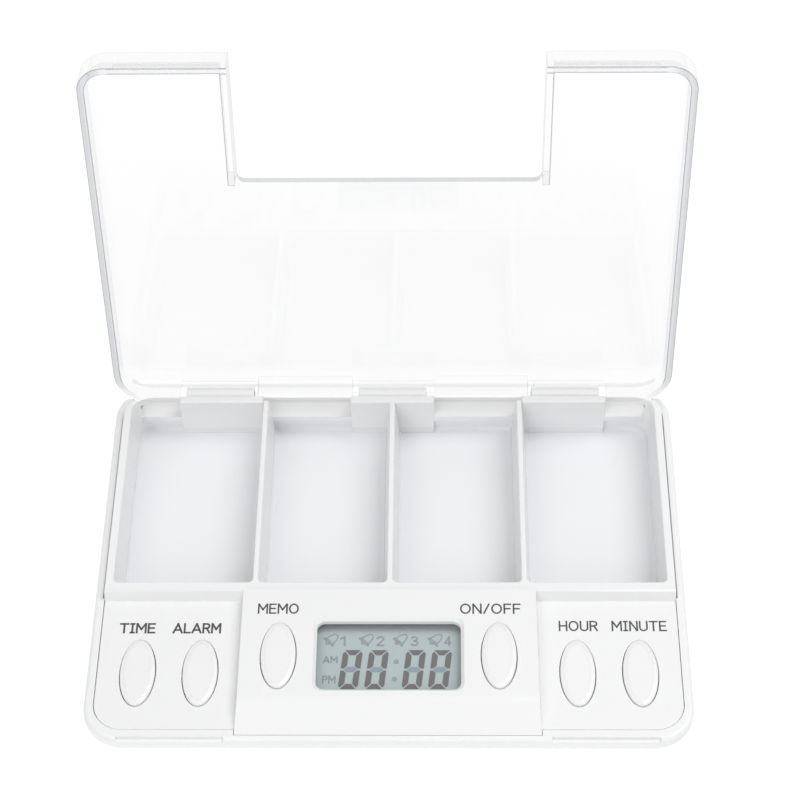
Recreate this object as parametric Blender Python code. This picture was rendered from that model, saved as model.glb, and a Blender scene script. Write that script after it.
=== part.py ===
"""Electronic pill box: four compartments, a clear hinged lid, six keys and a small display.

Frame: metres, +X to the right, +Y to the back, +Z up. The origin is the middle of the flat
underside. The lid stands open, as it does when the box is being filled.
"""
import math

import bmesh
import bpy
from mathutils import Matrix, Vector

MM = 0.001

# General fits
FIT_GAP = 0.3 * MM
CUT_OVERRUN = 2.0 * MM
CORNER_STEPS = 6
ROUND_SIDES = 32
SMALL_SIDES = 16
SMALL_RADIUS = 4.0 * MM

# Base shell
BODY_DEPTH = 84.6 * MM
BODY_CORNER = 7.5 * MM
BASE_WALL = 1.6 * MM
BASE_FRONT_WALL = 2.1 * MM
BASE_BACK_WALL = 1.4 * MM
BASE_FLOOR = 1.6 * MM
EDGE_BAND = 1.0 * MM
RIM_ROUND = 0.8 * MM
FRONT_RAKE = 9.5 * MM
SIDE_RAKE = 3.0 * MM
BACK_RAKE = 2.5 * MM
DEPTH_SHARES = (0.0, 0.1, 0.27, 0.42, 0.56, 0.7, 0.83, 0.93, 1.0)
FRONT_SHARES = (0.0, 0.005, 0.1, 0.22, 0.345, 0.465, 0.59, 0.74, 1.0)
SIDE_SHARES = (0.0, 0.003, 0.04, 0.1, 0.19, 0.31, 0.47, 0.68, 1.0)
BACK_STEP_DROP = 3.2 * MM
BACK_STEP_DEPTH = 3.0 * MM
CATCH_SETBACK = 1.0 * MM
CATCH_LENGTH = 20.0 * MM
CATCH_DROP = 0.7 * MM
CATCH_DEPTH = 0.85 * MM
SOUND_HOLE_RADIUS = 0.6 * MM
SOUND_HOLE_COUNT = 6
SOUND_RING_RADIUS = 3.0 * MM

# Top housing: tray, crossbar, key panels and console
PANEL_WALL = 1.5 * MM
FRAME_RISE = 2.0 * MM
FRAME_WALL = 1.6 * MM
FRAME_SKIRT = 3.5 * MM
TRAY_DEPTH = 10.0 * MM
TRAY_FLOOR = 1.2 * MM
TRAY_WALL = 1.2 * MM
TRAY_DRAFT = 0.9 * MM
TRAY_FOOT_ROUND = 0.8 * MM
POCKET_CORNER = 1.0 * MM
POCKET_OUTER_CORNER = 3.6 * MM
TRAY_BACK_WALL = 1.4 * MM
TRAY_BACK_DROP = 2.8 * MM
TRAY_BACK_SETBACK = 2.8 * MM
DIVIDER_TOP = 1.1 * MM
DIVIDER_PITCH = 26.0 * MM
DIVIDER_COUNT = 3
CROSSBAR_RUN = 1.1 * MM
CROSSBAR_TOP = 2.0 * MM
CONSOLE_FLARE = 0.8 * MM
CONSOLE_RISE = 2.5 * MM
CONSOLE_FRONT = 4.8 * MM
CONSOLE_LIP = 1.2 * MM
CONSOLE_LIP_DROP = 1.3 * MM
HOOK_SPACING = 72.0 * MM
HOOK_WIDTH = 6.0 * MM
HOOK_HEIGHT = 1.5 * MM
HOOK_REACH = 2.0 * MM
HOOK_DROP = 7.0 * MM

# Hinge
HINGE_SETBACK = 2.2 * MM
HINGE_LIFT = 0.2 * MM
KNUCKLE_RADIUS = 1.6 * MM
KNUCKLE_LENGTH = 14.0 * MM
KNUCKLE_SPACING = 35.6 * MM
BLOCK_LENGTH = 17.2 * MM
BLOCK_SHIFT = 0.4 * MM
BLOCK_DEPTH = 1.8 * MM
PEG_RADIUS = 0.65 * MM
PEG_LENGTH = 1.7 * MM
SOCKET_DEPTH = 2.2 * MM
LID_OPEN_DEGREES = 97.5

# Lid
LID_OVERHANG = 0.45 * MM
LID_SETBACK = 0.7 * MM
LID_HEIGHT = 6.1 * MM
LID_WALL = 1.5 * MM
LID_PLATE = 1.4 * MM
LID_FRONT_CORNER = 5.5 * MM
LID_REAR_CORNER = 7.5 * MM
LID_EDGE_ROUND = 1.2 * MM
NOTCH_CLEARANCE = 1.3 * MM
NOTCH_SETBACK = 0.5 * MM
NOTCH_CORNER = 1.5 * MM
NOTCH_WALL = 1.4 * MM
NOTCH_WALL_SHORT = 2.6 * MM
TAB_INNER_GAP = 1.4 * MM
TAB_OUTER_GAP = 0.6 * MM
TAB_DEPTH = 3.2 * MM
BARREL_RADIUS = 1.3 * MM
REAR_WALL_GAP = 0.5 * MM
TONGUE_THICKNESS = 0.45 * MM
TONGUE_DROP = 0.6 * MM
TONGUE_SETBACK = 0.1 * MM
TONGUE_BEAD = 0.6 * MM

# Keys
KEY_WIDTH = 6.6 * MM
KEY_LENGTH = 14.5 * MM
KEY_FLANGE = 0.8 * MM
KEY_FLANGE_THICKNESS = 0.6 * MM
KEY_PROUD = 0.35 * MM
KEY_CROWN = 0.3 * MM
KEY_STEM_RADIUS = 1.5 * MM
KEY_TRAVEL = 0.6 * MM
TRAVEL_MARGIN = 0.1 * MM
PANEL_KEY_Y = 12.3 * MM
CONSOLE_KEY_GAP = 3.85 * MM
CONSOLE_KEY_EDGE = 4.0 * MM
PANEL_KEY_START = 4.2 * MM
PANEL_KEY_GAP = 5.2 * MM
PANEL_KEY_EDGE = 4.4 * MM
CONSOLE_KEY_Y = 14.6 * MM

# Display
WINDOW_WIDTH = 27.3 * MM
WINDOW_HEIGHT = 15.2 * MM
WINDOW_CORNER = 1.6 * MM
WINDOW_CHAMFER = 0.6 * MM
DISPLAY_Y = 15.05 * MM
LENS_BORDER = 0.9 * MM
LENS_THICKNESS = 0.8 * MM
GLASS_SIDE_BORDER = 1.55 * MM
GLASS_END_BORDER = 1.95 * MM
GLASS_THICKNESS = 2.2 * MM
HOLDER_WALL = 0.9 * MM
STRIP_WIDTH = 1.8 * MM
STRIP_SETBACK = 1.7 * MM

# Circuit board and what it carries
BOARD_SIDE_GAP = 5.5 * MM
BOARD_FRONT = 3.6 * MM
BOARD_BACK_GAP = 1.2 * MM
BOARD_THICKNESS = 1.0 * MM
BOARD_CORNER = 2.0 * MM
SWITCH_SIDE = 6.0 * MM
SWITCH_HEIGHT = 2.0 * MM
PLUNGER_RADIUS = 1.65 * MM
PLUNGER_LENGTH = 1.5 * MM
BUZZER_RADIUS = 6.0 * MM
BUZZER_HEIGHT = 4.2 * MM
BUZZER_PORT_RADIUS = 1.2 * MM
BUZZER_PORT_DEPTH = 0.8 * MM
BUZZER_EDGE = 11.5 * MM
BUZZER_Y = 16.5 * MM
CHIP_RADIUS = 4.5 * MM
CHIP_HEIGHT = 1.6 * MM
CHIP_EDGE = 13.5 * MM
CHIP_Y = 16.0 * MM
CRYSTAL_RADIUS = 1.0 * MM
CRYSTAL_LENGTH = 6.0 * MM
CRYSTAL_SPACING = 9.0 * MM
CRYSTAL_Y = 20.0 * MM

# Cell, contacts and door
CELL_RADIUS = 10.0 * MM
CELL_THICKNESS = 3.2 * MM
CELL_RIM = 0.6 * MM
CELL_FRONT_REACH = 0.9 * MM
CELL_BACK_GAP = 2.0 * MM
CELL_HEADROOM = 1.8 * MM
CELL_RING_WALL = 2.3 * MM
CELL_RING_HEIGHT = 2.2 * MM
DOOR_OVERLAP = 0.9 * MM
DOOR_EAR_X = 13.6 * MM
DOOR_EAR_RADIUS = 3.4 * MM
DOOR_TONGUE_WIDTH = 5.0 * MM
DOOR_TONGUE_REACH = 1.2 * MM
DOOR_TONGUE_HEIGHT = 0.8 * MM
DOOR_TONGUE_NECK = 0.6 * MM
CONTACT_THICKNESS = 0.4 * MM
CONTACT_WIDTH = 5.0 * MM
CONTACT_REACH = 7.0 * MM

# Screws
SCREW_SHANK_RADIUS = 1.0 * MM
SCREW_HEAD_RADIUS = 1.9 * MM
SCREW_HEAD_HEIGHT = 1.2 * MM
SCREW_SLOT_WIDTH = 0.5 * MM
SCREW_SLOT_DEPTH = 0.5 * MM
POST_RADIUS = 2.7 * MM
BOARD_POST_RADIUS = 2.2 * MM
BOSS_RADIUS = 3.4 * MM
HOUSING_SCREW_Y = 9.0 * MM
HOUSING_SCREW_LENGTH = 6.6 * MM
BOARD_SCREW_BACK_EDGE = 3.8 * MM
BOARD_SCREW_FRONT_EDGE = 2.6 * MM
BOARD_SCREW_LENGTH = 4.2 * MM
DOOR_SCREW_LENGTH = 2.6 * MM
POST_DROP = 7.6 * MM

# Widths, worked out from the display and the keys outwards
CONSOLE_KEY_X = WINDOW_WIDTH / 2 + CONSOLE_KEY_GAP + KEY_WIDTH / 2
CONSOLE_WIDTH = 2 * (CONSOLE_KEY_X + KEY_WIDTH / 2 + CONSOLE_KEY_EDGE)
INNER_KEY_X = CONSOLE_WIDTH / 2 + PANEL_KEY_START + KEY_WIDTH / 2
OUTER_KEY_X = INNER_KEY_X + KEY_WIDTH + PANEL_KEY_GAP
SEAM_HALF_WIDTH = OUTER_KEY_X + KEY_WIDTH / 2 + PANEL_KEY_EDGE
BODY_WIDTH = 2 * (SEAM_HALF_WIDTH + FIT_GAP + BASE_WALL)
LID_WIDTH = BODY_WIDTH + 2 * LID_OVERHANG
NOTCH_WIDTH = CONSOLE_WIDTH + 2 * NOTCH_CLEARANCE
CATCH_START = NOTCH_WIDTH / 2 + CATCH_SETBACK
GLASS_WIDTH = WINDOW_WIDTH + 2 * GLASS_SIDE_BORDER
GLASS_HEIGHT = WINDOW_HEIGHT + 2 * GLASS_END_BORDER
STRIP_LENGTH = GLASS_WIDTH - 2 * STRIP_SETBACK
BOARD_WIDTH = BODY_WIDTH - 2 * BOARD_SIDE_GAP
BUZZER_X = BUZZER_EDGE - BOARD_WIDTH / 2
CHIP_X = BOARD_WIDTH / 2 - CHIP_EDGE
CRYSTAL_X = CHIP_X - CRYSTAL_SPACING
HOUSING_SCREW_X = (CONSOLE_KEY_X + INNER_KEY_X) / 2
BOARD_SCREW_X = (INNER_KEY_X + OUTER_KEY_X) / 2
TAB_START = KNUCKLE_LENGTH / 2 + TAB_INNER_GAP
TAB_LENGTH = KNUCKLE_SPACING - KNUCKLE_LENGTH / 2 - TAB_OUTER_GAP - TAB_START
BLOCK_SPACING = KNUCKLE_SPACING - BLOCK_SHIFT
REAR_WALL_INNER = BLOCK_SPACING + BLOCK_LENGTH / 2 + REAR_WALL_GAP

# Depths, worked out from the cell, which lies between the raked front and the tray
CELL_Y = FRONT_RAKE + CELL_RADIUS - CELL_FRONT_REACH
CROSSBAR_BACK = CELL_Y + CELL_RADIUS + CELL_BACK_GAP + TRAY_WALL
PANEL_DEPTH = CROSSBAR_BACK - CROSSBAR_TOP - CROSSBAR_RUN
BOARD_DEPTH = CROSSBAR_BACK - TRAY_WALL - BOARD_BACK_GAP - BOARD_FRONT
BOARD_SCREW_BACK_Y = BOARD_FRONT + BOARD_DEPTH - BOARD_SCREW_BACK_EDGE
BOARD_SCREW_FRONT_Y = BOARD_FRONT + BOARD_SCREW_FRONT_EDGE
LID_DEPTH = BODY_DEPTH - LID_SETBACK

# Height of the rim, worked out from the stack of cell, board, switches and keys
CELL_FOOT_Z = BASE_FLOOR + FIT_GAP
CELL_TOP_Z = CELL_FOOT_Z + CELL_THICKNESS
PLUNGER_PROUD = KEY_TRAVEL - TRAVEL_MARGIN
SWITCH_STACK = BOARD_THICKNESS + FIT_GAP + SWITCH_HEIGHT + PLUNGER_PROUD + FIT_GAP
KEY_STACK = KEY_FLANGE_THICKNESS + FIT_GAP + PANEL_WALL
RIM_HEIGHT = CELL_TOP_Z + CELL_HEADROOM + SWITCH_STACK + KEY_STACK

# Places that follow from the sizes
SEAM_FRONT = -BODY_DEPTH / 2 + BASE_FRONT_WALL + FIT_GAP
SEAM_CORNER = BODY_CORNER - BASE_WALL - FIT_GAP
BODY_BACK = BODY_DEPTH / 2
FRAME_TOP = RIM_HEIGHT + FRAME_RISE
CONSOLE_TOP = RIM_HEIGHT + CONSOLE_RISE
PANEL_UNDER = RIM_HEIGHT - PANEL_WALL
CONSOLE_UNDER = CONSOLE_TOP - PANEL_WALL
TRAY_FLOOR_TOP = FRAME_TOP - TRAY_DEPTH
TRAY_BOTTOM = TRAY_FLOOR_TOP - TRAY_FLOOR
TRAY_BACK = BODY_BACK - TRAY_BACK_SETBACK
POCKET_FRONT = SEAM_FRONT + CROSSBAR_BACK
POCKET_BACK = TRAY_BACK - TRAY_BACK_WALL
POCKET_HALF_WIDTH = SEAM_HALF_WIDTH - FRAME_WALL
HINGE_Y = BODY_BACK - HINGE_SETBACK
HINGE_Z = RIM_HEIGHT + HINGE_LIFT
STEP_Y = BODY_BACK - BACK_STEP_DEPTH
STEP_Z = RIM_HEIGHT - BACK_STEP_DROP
BASE_INSIDE = BASE_FLOOR
LID_RIM_Z = RIM_HEIGHT + FIT_GAP
LID_TOP_Z = LID_RIM_Z + LID_HEIGHT
LID_BACK = BODY_BACK
LID_FRONT = LID_BACK - LID_DEPTH
NOTCH_DEPTH = SEAM_FRONT + PANEL_DEPTH - NOTCH_SETBACK - LID_FRONT
KEY_FOOT_Z = PANEL_UNDER - FIT_GAP - KEY_FLANGE_THICKNESS
PLUNGER_TOP_Z = KEY_FOOT_Z - FIT_GAP
SWITCH_BORE_DEPTH = PLUNGER_LENGTH - PLUNGER_PROUD + KEY_TRAVEL + TRAVEL_MARGIN
SWITCH_TOP_Z = PLUNGER_TOP_Z - PLUNGER_PROUD
SWITCH_FOOT_Z = SWITCH_TOP_Z - SWITCH_HEIGHT
BOARD_TOP_Z = SWITCH_FOOT_Z - FIT_GAP
BOARD_FOOT_Z = BOARD_TOP_Z - BOARD_THICKNESS
UNDER_BOARD_Z = BOARD_FOOT_Z - FIT_GAP
LENS_TOP_Z = CONSOLE_UNDER - FIT_GAP
LENS_FOOT_Z = LENS_TOP_Z - LENS_THICKNESS
GLASS_TOP_Z = LENS_FOOT_Z - FIT_GAP
GLASS_FOOT_Z = GLASS_TOP_Z - GLASS_THICKNESS
POST_FOOT_Z = PANEL_UNDER - POST_DROP


def panel_y(distance):
    """Y of a point that lies this far behind the front seam."""
    return SEAM_FRONT + distance


def clear_scene():
    """Remove every object that the file holds."""
    for item in list(bpy.data.objects):
        bpy.data.objects.remove(item, do_unlink=True)


def add_object(name, shape, smooth_angle=None):
    """Turn a bmesh into a named object with its faces pointing out."""
    bmesh.ops.remove_doubles(shape, verts=shape.verts, dist=MM / 1000)
    bmesh.ops.recalc_face_normals(shape, faces=shape.faces)
    mesh = bpy.data.meshes.new(name)
    shape.to_mesh(mesh)
    shape.free()
    item = bpy.data.objects.new(name, mesh)
    bpy.context.scene.collection.objects.link(item)
    if smooth_angle is not None:
        mesh.shade_smooth()
        mesh.set_sharp_from_angle(angle=smooth_angle)
    return item


def loft(name, rings):
    """Join closed rings of equal count from bottom to top and cap both ends."""
    shape = bmesh.new()
    rows = []
    for ring in rings:
        rows.append([shape.verts.new(point) for point in ring])
    for lower, upper in zip(rows, rows[1:]):
        for index in range(len(lower)):
            following = (index + 1) % len(lower)
            shape.faces.new((lower[index], lower[following], upper[following], upper[index]))
    shape.faces.new(list(reversed(rows[0])))
    shape.faces.new(rows[-1])
    return add_object(name, shape)


def rounded_ring(x0, x1, y0, y1, radii, z, steps=CORNER_STEPS):
    """Points of a rounded rectangle at height z, counter-clockwise seen from above.

    The radii are one length, or four from the back right corner to the front right one.
    """
    points = []
    if not isinstance(radii, tuple):
        radii = (radii,) * 4
    corners = ((x1, y1, 0.0), (x0, y1, 0.5), (x0, y0, 1.0), (x1, y0, 1.5))
    for (corner_x, corner_y, turn), radius in zip(corners, radii):
        centre_x = corner_x - math.copysign(radius, corner_x - (x0 + x1) / 2)
        centre_y = corner_y - math.copysign(radius, corner_y - (y0 + y1) / 2)
        for step in range(steps + 1):
            angle = math.pi * (turn + step / steps / 2)
            points.append(Vector((centre_x + radius * math.cos(angle),
                                  centre_y + radius * math.sin(angle), z)))
    return points


def rounded_slab(name, x0, x1, y0, y1, z0, z1, radius):
    """Upright slab with a rounded outline."""
    return loft(name, [rounded_ring(x0, x1, y0, y1, radius, z) for z in (z0, z1)])


def box(name, x0, x1, y0, y1, z0, z1):
    """Plain box between two corners."""
    shape = bmesh.new()
    bmesh.ops.create_cube(shape, size=1.0)
    scale = Matrix.Diagonal((x1 - x0, y1 - y0, z1 - z0, 1.0))
    centre = Matrix.Translation(((x0 + x1) / 2, (y0 + y1) / 2, (z0 + z1) / 2))
    bmesh.ops.transform(shape, matrix=centre @ scale, verts=shape.verts)
    return add_object(name, shape)


def profile_prism_x(name, outline, x0, x1):
    """Extrude a closed outline of (y, z) points along X."""
    return loft(name, [[Vector((x, y, z)) for y, z in outline] for x in (x0, x1)])


def turned(name, centre_x, centre_y, stations, sides=ROUND_SIDES):
    """Upright turned shape from (radius, z) stations, bottom to top."""
    rings = []
    for radius, z in stations:
        rings.append([Vector((centre_x + radius * math.cos(2 * math.pi * side / sides),
                              centre_y + radius * math.sin(2 * math.pi * side / sides), z))
                      for side in range(sides)])
    return loft(name, rings)


def rod_x(name, x0, x1, y, z, radius, sides=SMALL_SIDES):
    """Round rod along X."""
    rings = []
    for x in (x0, x1):
        rings.append([Vector((x, y + radius * math.cos(2 * math.pi * side / sides),
                              z + radius * math.sin(2 * math.pi * side / sides)))
                      for side in range(sides)])
    return loft(name, rings)


def oval_ring(x, y, width, length, z, sides=ROUND_SIDES):
    """Points of an ellipse at height z."""
    return [Vector((x + width / 2 * math.cos(2 * math.pi * side / sides),
                    y + length / 2 * math.sin(2 * math.pi * side / sides), z))
            for side in range(sides)]


def combine(target, tool, operation):
    """Cut, join or intersect the target with a tool, which is used up."""
    modifier = target.modifiers.new(operation.title(), 'BOOLEAN')
    modifier.operation = operation
    modifier.solver = 'EXACT'
    modifier.object = tool
    bpy.context.view_layer.update()
    seen = target.evaluated_get(bpy.context.evaluated_depsgraph_get())
    mesh = bpy.data.meshes.new_from_object(seen)
    target.modifiers.clear()
    target.data = mesh
    mesh.name = target.name
    bpy.data.objects.remove(tool, do_unlink=True)


def cut(target, tool):
    combine(target, tool, 'DIFFERENCE')


def join(target, tool):
    combine(target, tool, 'UNION')


def dress(item, material):
    """Give a finished piece its material and soft shading between its flat faces."""
    item.data.materials.clear()
    item.data.materials.append(material)
    item.data.shade_smooth()
    item.data.set_sharp_from_angle(angle=math.radians(35))


def plastic(name, colour, roughness, metallic=0.0, alpha=1.0):
    """Principled material with one colour."""
    material = bpy.data.materials.new(name)
    material.use_nodes = True
    shader = material.node_tree.nodes['Principled BSDF']
    shader.inputs['Base Color'].default_value = (*colour, 1.0)
    shader.inputs['Roughness'].default_value = roughness
    shader.inputs['Metallic'].default_value = metallic
    shader.inputs['Alpha'].default_value = alpha
    material.diffuse_color = (*colour, alpha)
    return material


def move_origin(item, place):
    """Put an object's origin on a point of its joint's axis."""
    item.data.transform(Matrix.Translation(-place))
    item.location = place


def shell_ring(depth_share, front_share, side_share, height, inset):
    """Outline of the base at one level, from the band under the rim to the underside."""
    z = RIM_HEIGHT - EDGE_BAND - depth_share * height
    front = FRONT_RAKE * front_share
    side = SIDE_RAKE * side_share
    back = BACK_RAKE * side_share
    radius = BODY_CORNER - inset + side
    front_inset = BASE_FRONT_WALL if inset else 0
    back_inset = BASE_BACK_WALL if inset else 0
    return rounded_ring(-BODY_WIDTH / 2 + inset + side, BODY_WIDTH / 2 - inset - side,
                        -BODY_DEPTH / 2 + front_inset + front,
                        BODY_DEPTH / 2 - back_inset - back, radius, z)


def shell_rings(height, inset):
    """Outlines of the base from its underside or floor up to the band under the rim."""
    levels = zip(DEPTH_SHARES, FRONT_SHARES, SIDE_SHARES)
    return [shell_ring(*level, height, inset) for level in reversed(list(levels))]


def shell_body(name):
    """Solid outer form of the base, with its rounded rim edge."""
    rings = shell_rings(RIM_HEIGHT - EDGE_BAND, 0)
    for turn in (0, 30, 60, 90):
        lift = RIM_ROUND * math.sin(math.radians(turn))
        inset = RIM_ROUND * (1 - math.cos(math.radians(turn)))
        z = RIM_HEIGHT - RIM_ROUND + lift
        rings.append(rounded_ring(-BODY_WIDTH / 2 + inset, BODY_WIDTH / 2 - inset,
                                  -BODY_DEPTH / 2 + inset, BODY_DEPTH / 2 - inset,
                                  BODY_CORNER - inset, z))
    return loft(name, rings)


def shell_hollow():
    """The room inside the base, from above its floor to past its rim."""
    rings = shell_rings(RIM_HEIGHT - EDGE_BAND - BASE_FLOOR, BASE_WALL)
    top = [point.copy() for point in rings[-1]]
    for point in top:
        point.z = RIM_HEIGHT + CUT_OVERRUN
    return loft('hollow', rings + [top])


def door_outline(name, growth, z0, z1):
    """Round door with an ear for its screw, grown by a clearance."""
    shape = turned(name, 0, panel_y(CELL_Y),
                   [(CELL_RADIUS + DOOR_OVERLAP + growth, z0),
                    (CELL_RADIUS + DOOR_OVERLAP + growth, z1)])
    ear = box('ear', 0, DOOR_EAR_X, panel_y(CELL_Y) - DOOR_EAR_RADIUS - growth,
              panel_y(CELL_Y) + DOOR_EAR_RADIUS + growth, z0, z1)
    join(shape, ear)
    end = turned('ear_end', DOOR_EAR_X, panel_y(CELL_Y),
                 [(DOOR_EAR_RADIUS + growth, z0), (DOOR_EAR_RADIUS + growth, z1)])
    join(shape, end)
    return shape


def mirrored(x):
    """The two places of a pair, left first."""
    return (-x, x)


def round_sides(radius):
    """Fewer sides on the small round shapes."""
    return ROUND_SIDES if radius > SMALL_RADIUS else SMALL_SIDES


def bored_boss(base, x, y, z0, z1, radius):
    """Add an upright boss to a piece."""
    join(base, turned('boss', x, y, [(radius, z0), (radius, z1)], round_sides(radius)))


def bore(base, x, y, z0, z1, radius):
    """Drill an upright round hole in a piece."""
    cut(base, turned('bore', x, y, [(radius, z0), (radius, z1)], round_sides(radius)))


def build_base_shell():
    """Lower housing with its floor, bosses, cell ring, door opening and back step."""
    base = shell_body('base_shell')
    cut(base, shell_hollow())
    add_base_bosses(base)
    cut_back_step(base)
    cut_console_notch(base)
    cut_catches(base)
    cut_hook_slots(base)
    cut_base_holes(base)
    return base


def add_base_bosses(base):
    """Screw bosses and the ring that keeps the cell in place."""
    for x in mirrored(HOUSING_SCREW_X):
        top = POST_FOOT_Z - FIT_GAP
        bored_boss(base, x, panel_y(HOUSING_SCREW_Y), BASE_FLOOR / 2 + FIT_GAP, top, BOSS_RADIUS)
    outer = CELL_RADIUS + FIT_GAP + CELL_RING_WALL
    top = BASE_INSIDE + CELL_RING_HEIGHT
    bored_boss(base, 0, panel_y(CELL_Y), BASE_FLOOR / 2 + FIT_GAP, top, outer)
    bored_boss(base, DOOR_EAR_X, panel_y(CELL_Y), BASE_FLOOR / 2 + FIT_GAP, top, BOSS_RADIUS)


def cut_back_step(base):
    """Lower the back edge so that the lid's rear wall can swing down behind the hinge."""
    cut(base, box('step', -BODY_WIDTH, BODY_WIDTH, STEP_Y, BODY_DEPTH,
                  STEP_Z, RIM_HEIGHT + CUT_OVERRUN))


def cut_console_notch(base):
    """Let the console's front lip cross the rim."""
    half = CONSOLE_WIDTH / 2 + CONSOLE_FLARE + FIT_GAP
    cut(base, box('lip_notch', -half, half, SEAM_FRONT - CONSOLE_LIP - FIT_GAP,
                  SEAM_FRONT + BASE_FRONT_WALL,
                  RIM_HEIGHT - CONSOLE_LIP_DROP - FIT_GAP, RIM_HEIGHT + CUT_OVERRUN))


def cut_catches(base):
    """Two rebates in the front edge for the lid's tongues."""
    for side in (-1, 1):
        near = side * CATCH_START
        far = side * (CATCH_START + CATCH_LENGTH)
        cut(base, box('catch', min(near, far), max(near, far), -BODY_DEPTH,
                      -BODY_DEPTH / 2 + CATCH_DEPTH, RIM_HEIGHT - CATCH_DROP,
                      RIM_HEIGHT + CUT_OVERRUN))


def cut_hook_slots(base):
    """Slots in the back wall for the top housing's hooks."""
    for x in mirrored(HOOK_SPACING / 2):
        half = HOOK_WIDTH / 2 + FIT_GAP
        foot = RIM_HEIGHT - HOOK_DROP - FIT_GAP
        cut(base, box('slot', x - half, x + half, TRAY_BACK,
                      TRAY_BACK + HOOK_REACH + FIT_GAP,
                      foot, foot + HOOK_HEIGHT + 2 * FIT_GAP))


def cut_base_holes(base):
    """Door opening, cell pocket, screw holes, door tongue slot and sound holes."""
    y = panel_y(CELL_Y)
    cut(base, door_outline('opening', FIT_GAP, -CUT_OVERRUN, BASE_INSIDE))
    bore(base, 0, y, -CUT_OVERRUN, RIM_HEIGHT, CELL_RADIUS + FIT_GAP)
    reach = CELL_RADIUS + DOOR_OVERLAP + DOOR_TONGUE_REACH + 2 * FIT_GAP
    half = DOOR_TONGUE_WIDTH / 2 + FIT_GAP
    cut(base, box('tongue_slot', -reach, -CELL_RADIUS, y - half, y + half, BASE_INSIDE - FIT_GAP,
                  BASE_INSIDE + DOOR_TONGUE_HEIGHT + 2 * FIT_GAP))
    half = CONTACT_WIDTH / 2 + FIT_GAP
    cut(base, box('contact_slot', CELL_RADIUS, CELL_RADIUS + CONTACT_THICKNESS + 2 * FIT_GAP,
                  y - half, y + half, BASE_INSIDE, RIM_HEIGHT))
    bore(base, DOOR_EAR_X, y, BASE_INSIDE - FIT_GAP, RIM_HEIGHT, SCREW_SHANK_RADIUS + FIT_GAP)
    for x in mirrored(HOUSING_SCREW_X):
        bore(base, x, panel_y(HOUSING_SCREW_Y), -CUT_OVERRUN, RIM_HEIGHT,
             SCREW_SHANK_RADIUS + FIT_GAP)
        bore(base, x, panel_y(HOUSING_SCREW_Y), -CUT_OVERRUN,
             housing_head_z() + SCREW_HEAD_HEIGHT + FIT_GAP, SCREW_HEAD_RADIUS + FIT_GAP)
    for index in range(SOUND_HOLE_COUNT):
        angle = 2 * math.pi * index / SOUND_HOLE_COUNT
        bore(base, BUZZER_X + SOUND_RING_RADIUS * math.cos(angle),
             panel_y(BUZZER_Y) + SOUND_RING_RADIUS * math.sin(angle),
             -CUT_OVERRUN, BASE_INSIDE + CUT_OVERRUN, SOUND_HOLE_RADIUS)


def housing_head_z():
    """Underside of the housing screws' heads, sunk in the underside."""
    return BASE_FLOOR / 2


def pocket(x0, x1, radii):
    """Drafted compartment with a rounded foot, as a cutter."""
    levels = (
        (TRAY_FLOOR_TOP, TRAY_DRAFT + TRAY_FOOT_ROUND),
        (TRAY_FLOOR_TOP + TRAY_FOOT_ROUND * (1 - math.cos(math.radians(45))),
         TRAY_DRAFT + TRAY_FOOT_ROUND * (1 - math.sin(math.radians(45)))),
        (TRAY_FLOOR_TOP + TRAY_FOOT_ROUND, TRAY_DRAFT),
        (FRAME_TOP, 0),
        (FRAME_TOP + CUT_OVERRUN, 0),
    )
    rings = []
    for z, inset in levels:
        rings.append(rounded_ring(x0 + inset, x1 - inset, POCKET_FRONT + inset / 2,
                                  POCKET_BACK - inset / 2, radii, z))
    return loft('pocket', rings)


def pocket_edges():
    """Left and right edges and the corner radii of the compartments."""
    middle = (DIVIDER_COUNT - 1) / 2
    walls = [DIVIDER_PITCH * (index - middle) for index in range(DIVIDER_COUNT)]
    lefts = [-POCKET_HALF_WIDTH] + [wall + DIVIDER_TOP / 2 for wall in walls]
    rights = [wall - DIVIDER_TOP / 2 for wall in walls] + [POCKET_HALF_WIDTH]
    near = POCKET_CORNER
    far = POCKET_OUTER_CORNER
    corners = [(near, far, near, near)] + [near] * (DIVIDER_COUNT - 1) + [(far, near, near, near)]
    return list(zip(lefts, rights, corners))


def tray_block():
    """Outer form of the tray and its raised frame."""
    front = POCKET_FRONT - TRAY_WALL
    foot_half = POCKET_HALF_WIDTH - TRAY_DRAFT + TRAY_WALL
    levels = (
        (TRAY_BOTTOM, foot_half, front),
        (FRAME_TOP - FRAME_SKIRT - FRAME_RISE, foot_half + TRAY_DRAFT / 2, front),
        (FRAME_TOP - FRAME_SKIRT, SEAM_HALF_WIDTH, front),
        (FRAME_TOP, SEAM_HALF_WIDTH, front),
    )
    corners = (SEAM_CORNER, SEAM_CORNER, POCKET_CORNER, POCKET_CORNER)
    rings = [rounded_ring(-half, half, y, TRAY_BACK, corners, z) for z, half, y in levels]
    return loft('top_housing', rings)


def build_top_housing():
    """Upper housing: tray, crossbar, key panels, console, hinge blocks and posts."""
    housing = tray_block()
    join(housing, rounded_panel())
    join(housing, crossbar())
    join(housing, console_form('console', 0))
    cut(housing, console_form('console_room', PANEL_WALL))
    add_posts(housing)
    for left, right, corners in pocket_edges():
        cut(housing, pocket(left, right, corners))
    lower_back_wall(housing)
    add_hinge_blocks(housing)
    add_hooks(housing)
    cut_key_holes(housing)
    cut_window(housing)
    drill_posts(housing)
    return housing


def rounded_panel():
    """Flat key panel with the seam's outline."""
    back = POCKET_FRONT
    return rounded_slab('panel', -SEAM_HALF_WIDTH, SEAM_HALF_WIDTH, SEAM_FRONT,
                        back + SEAM_CORNER, PANEL_UNDER, RIM_HEIGHT, SEAM_CORNER)


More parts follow.
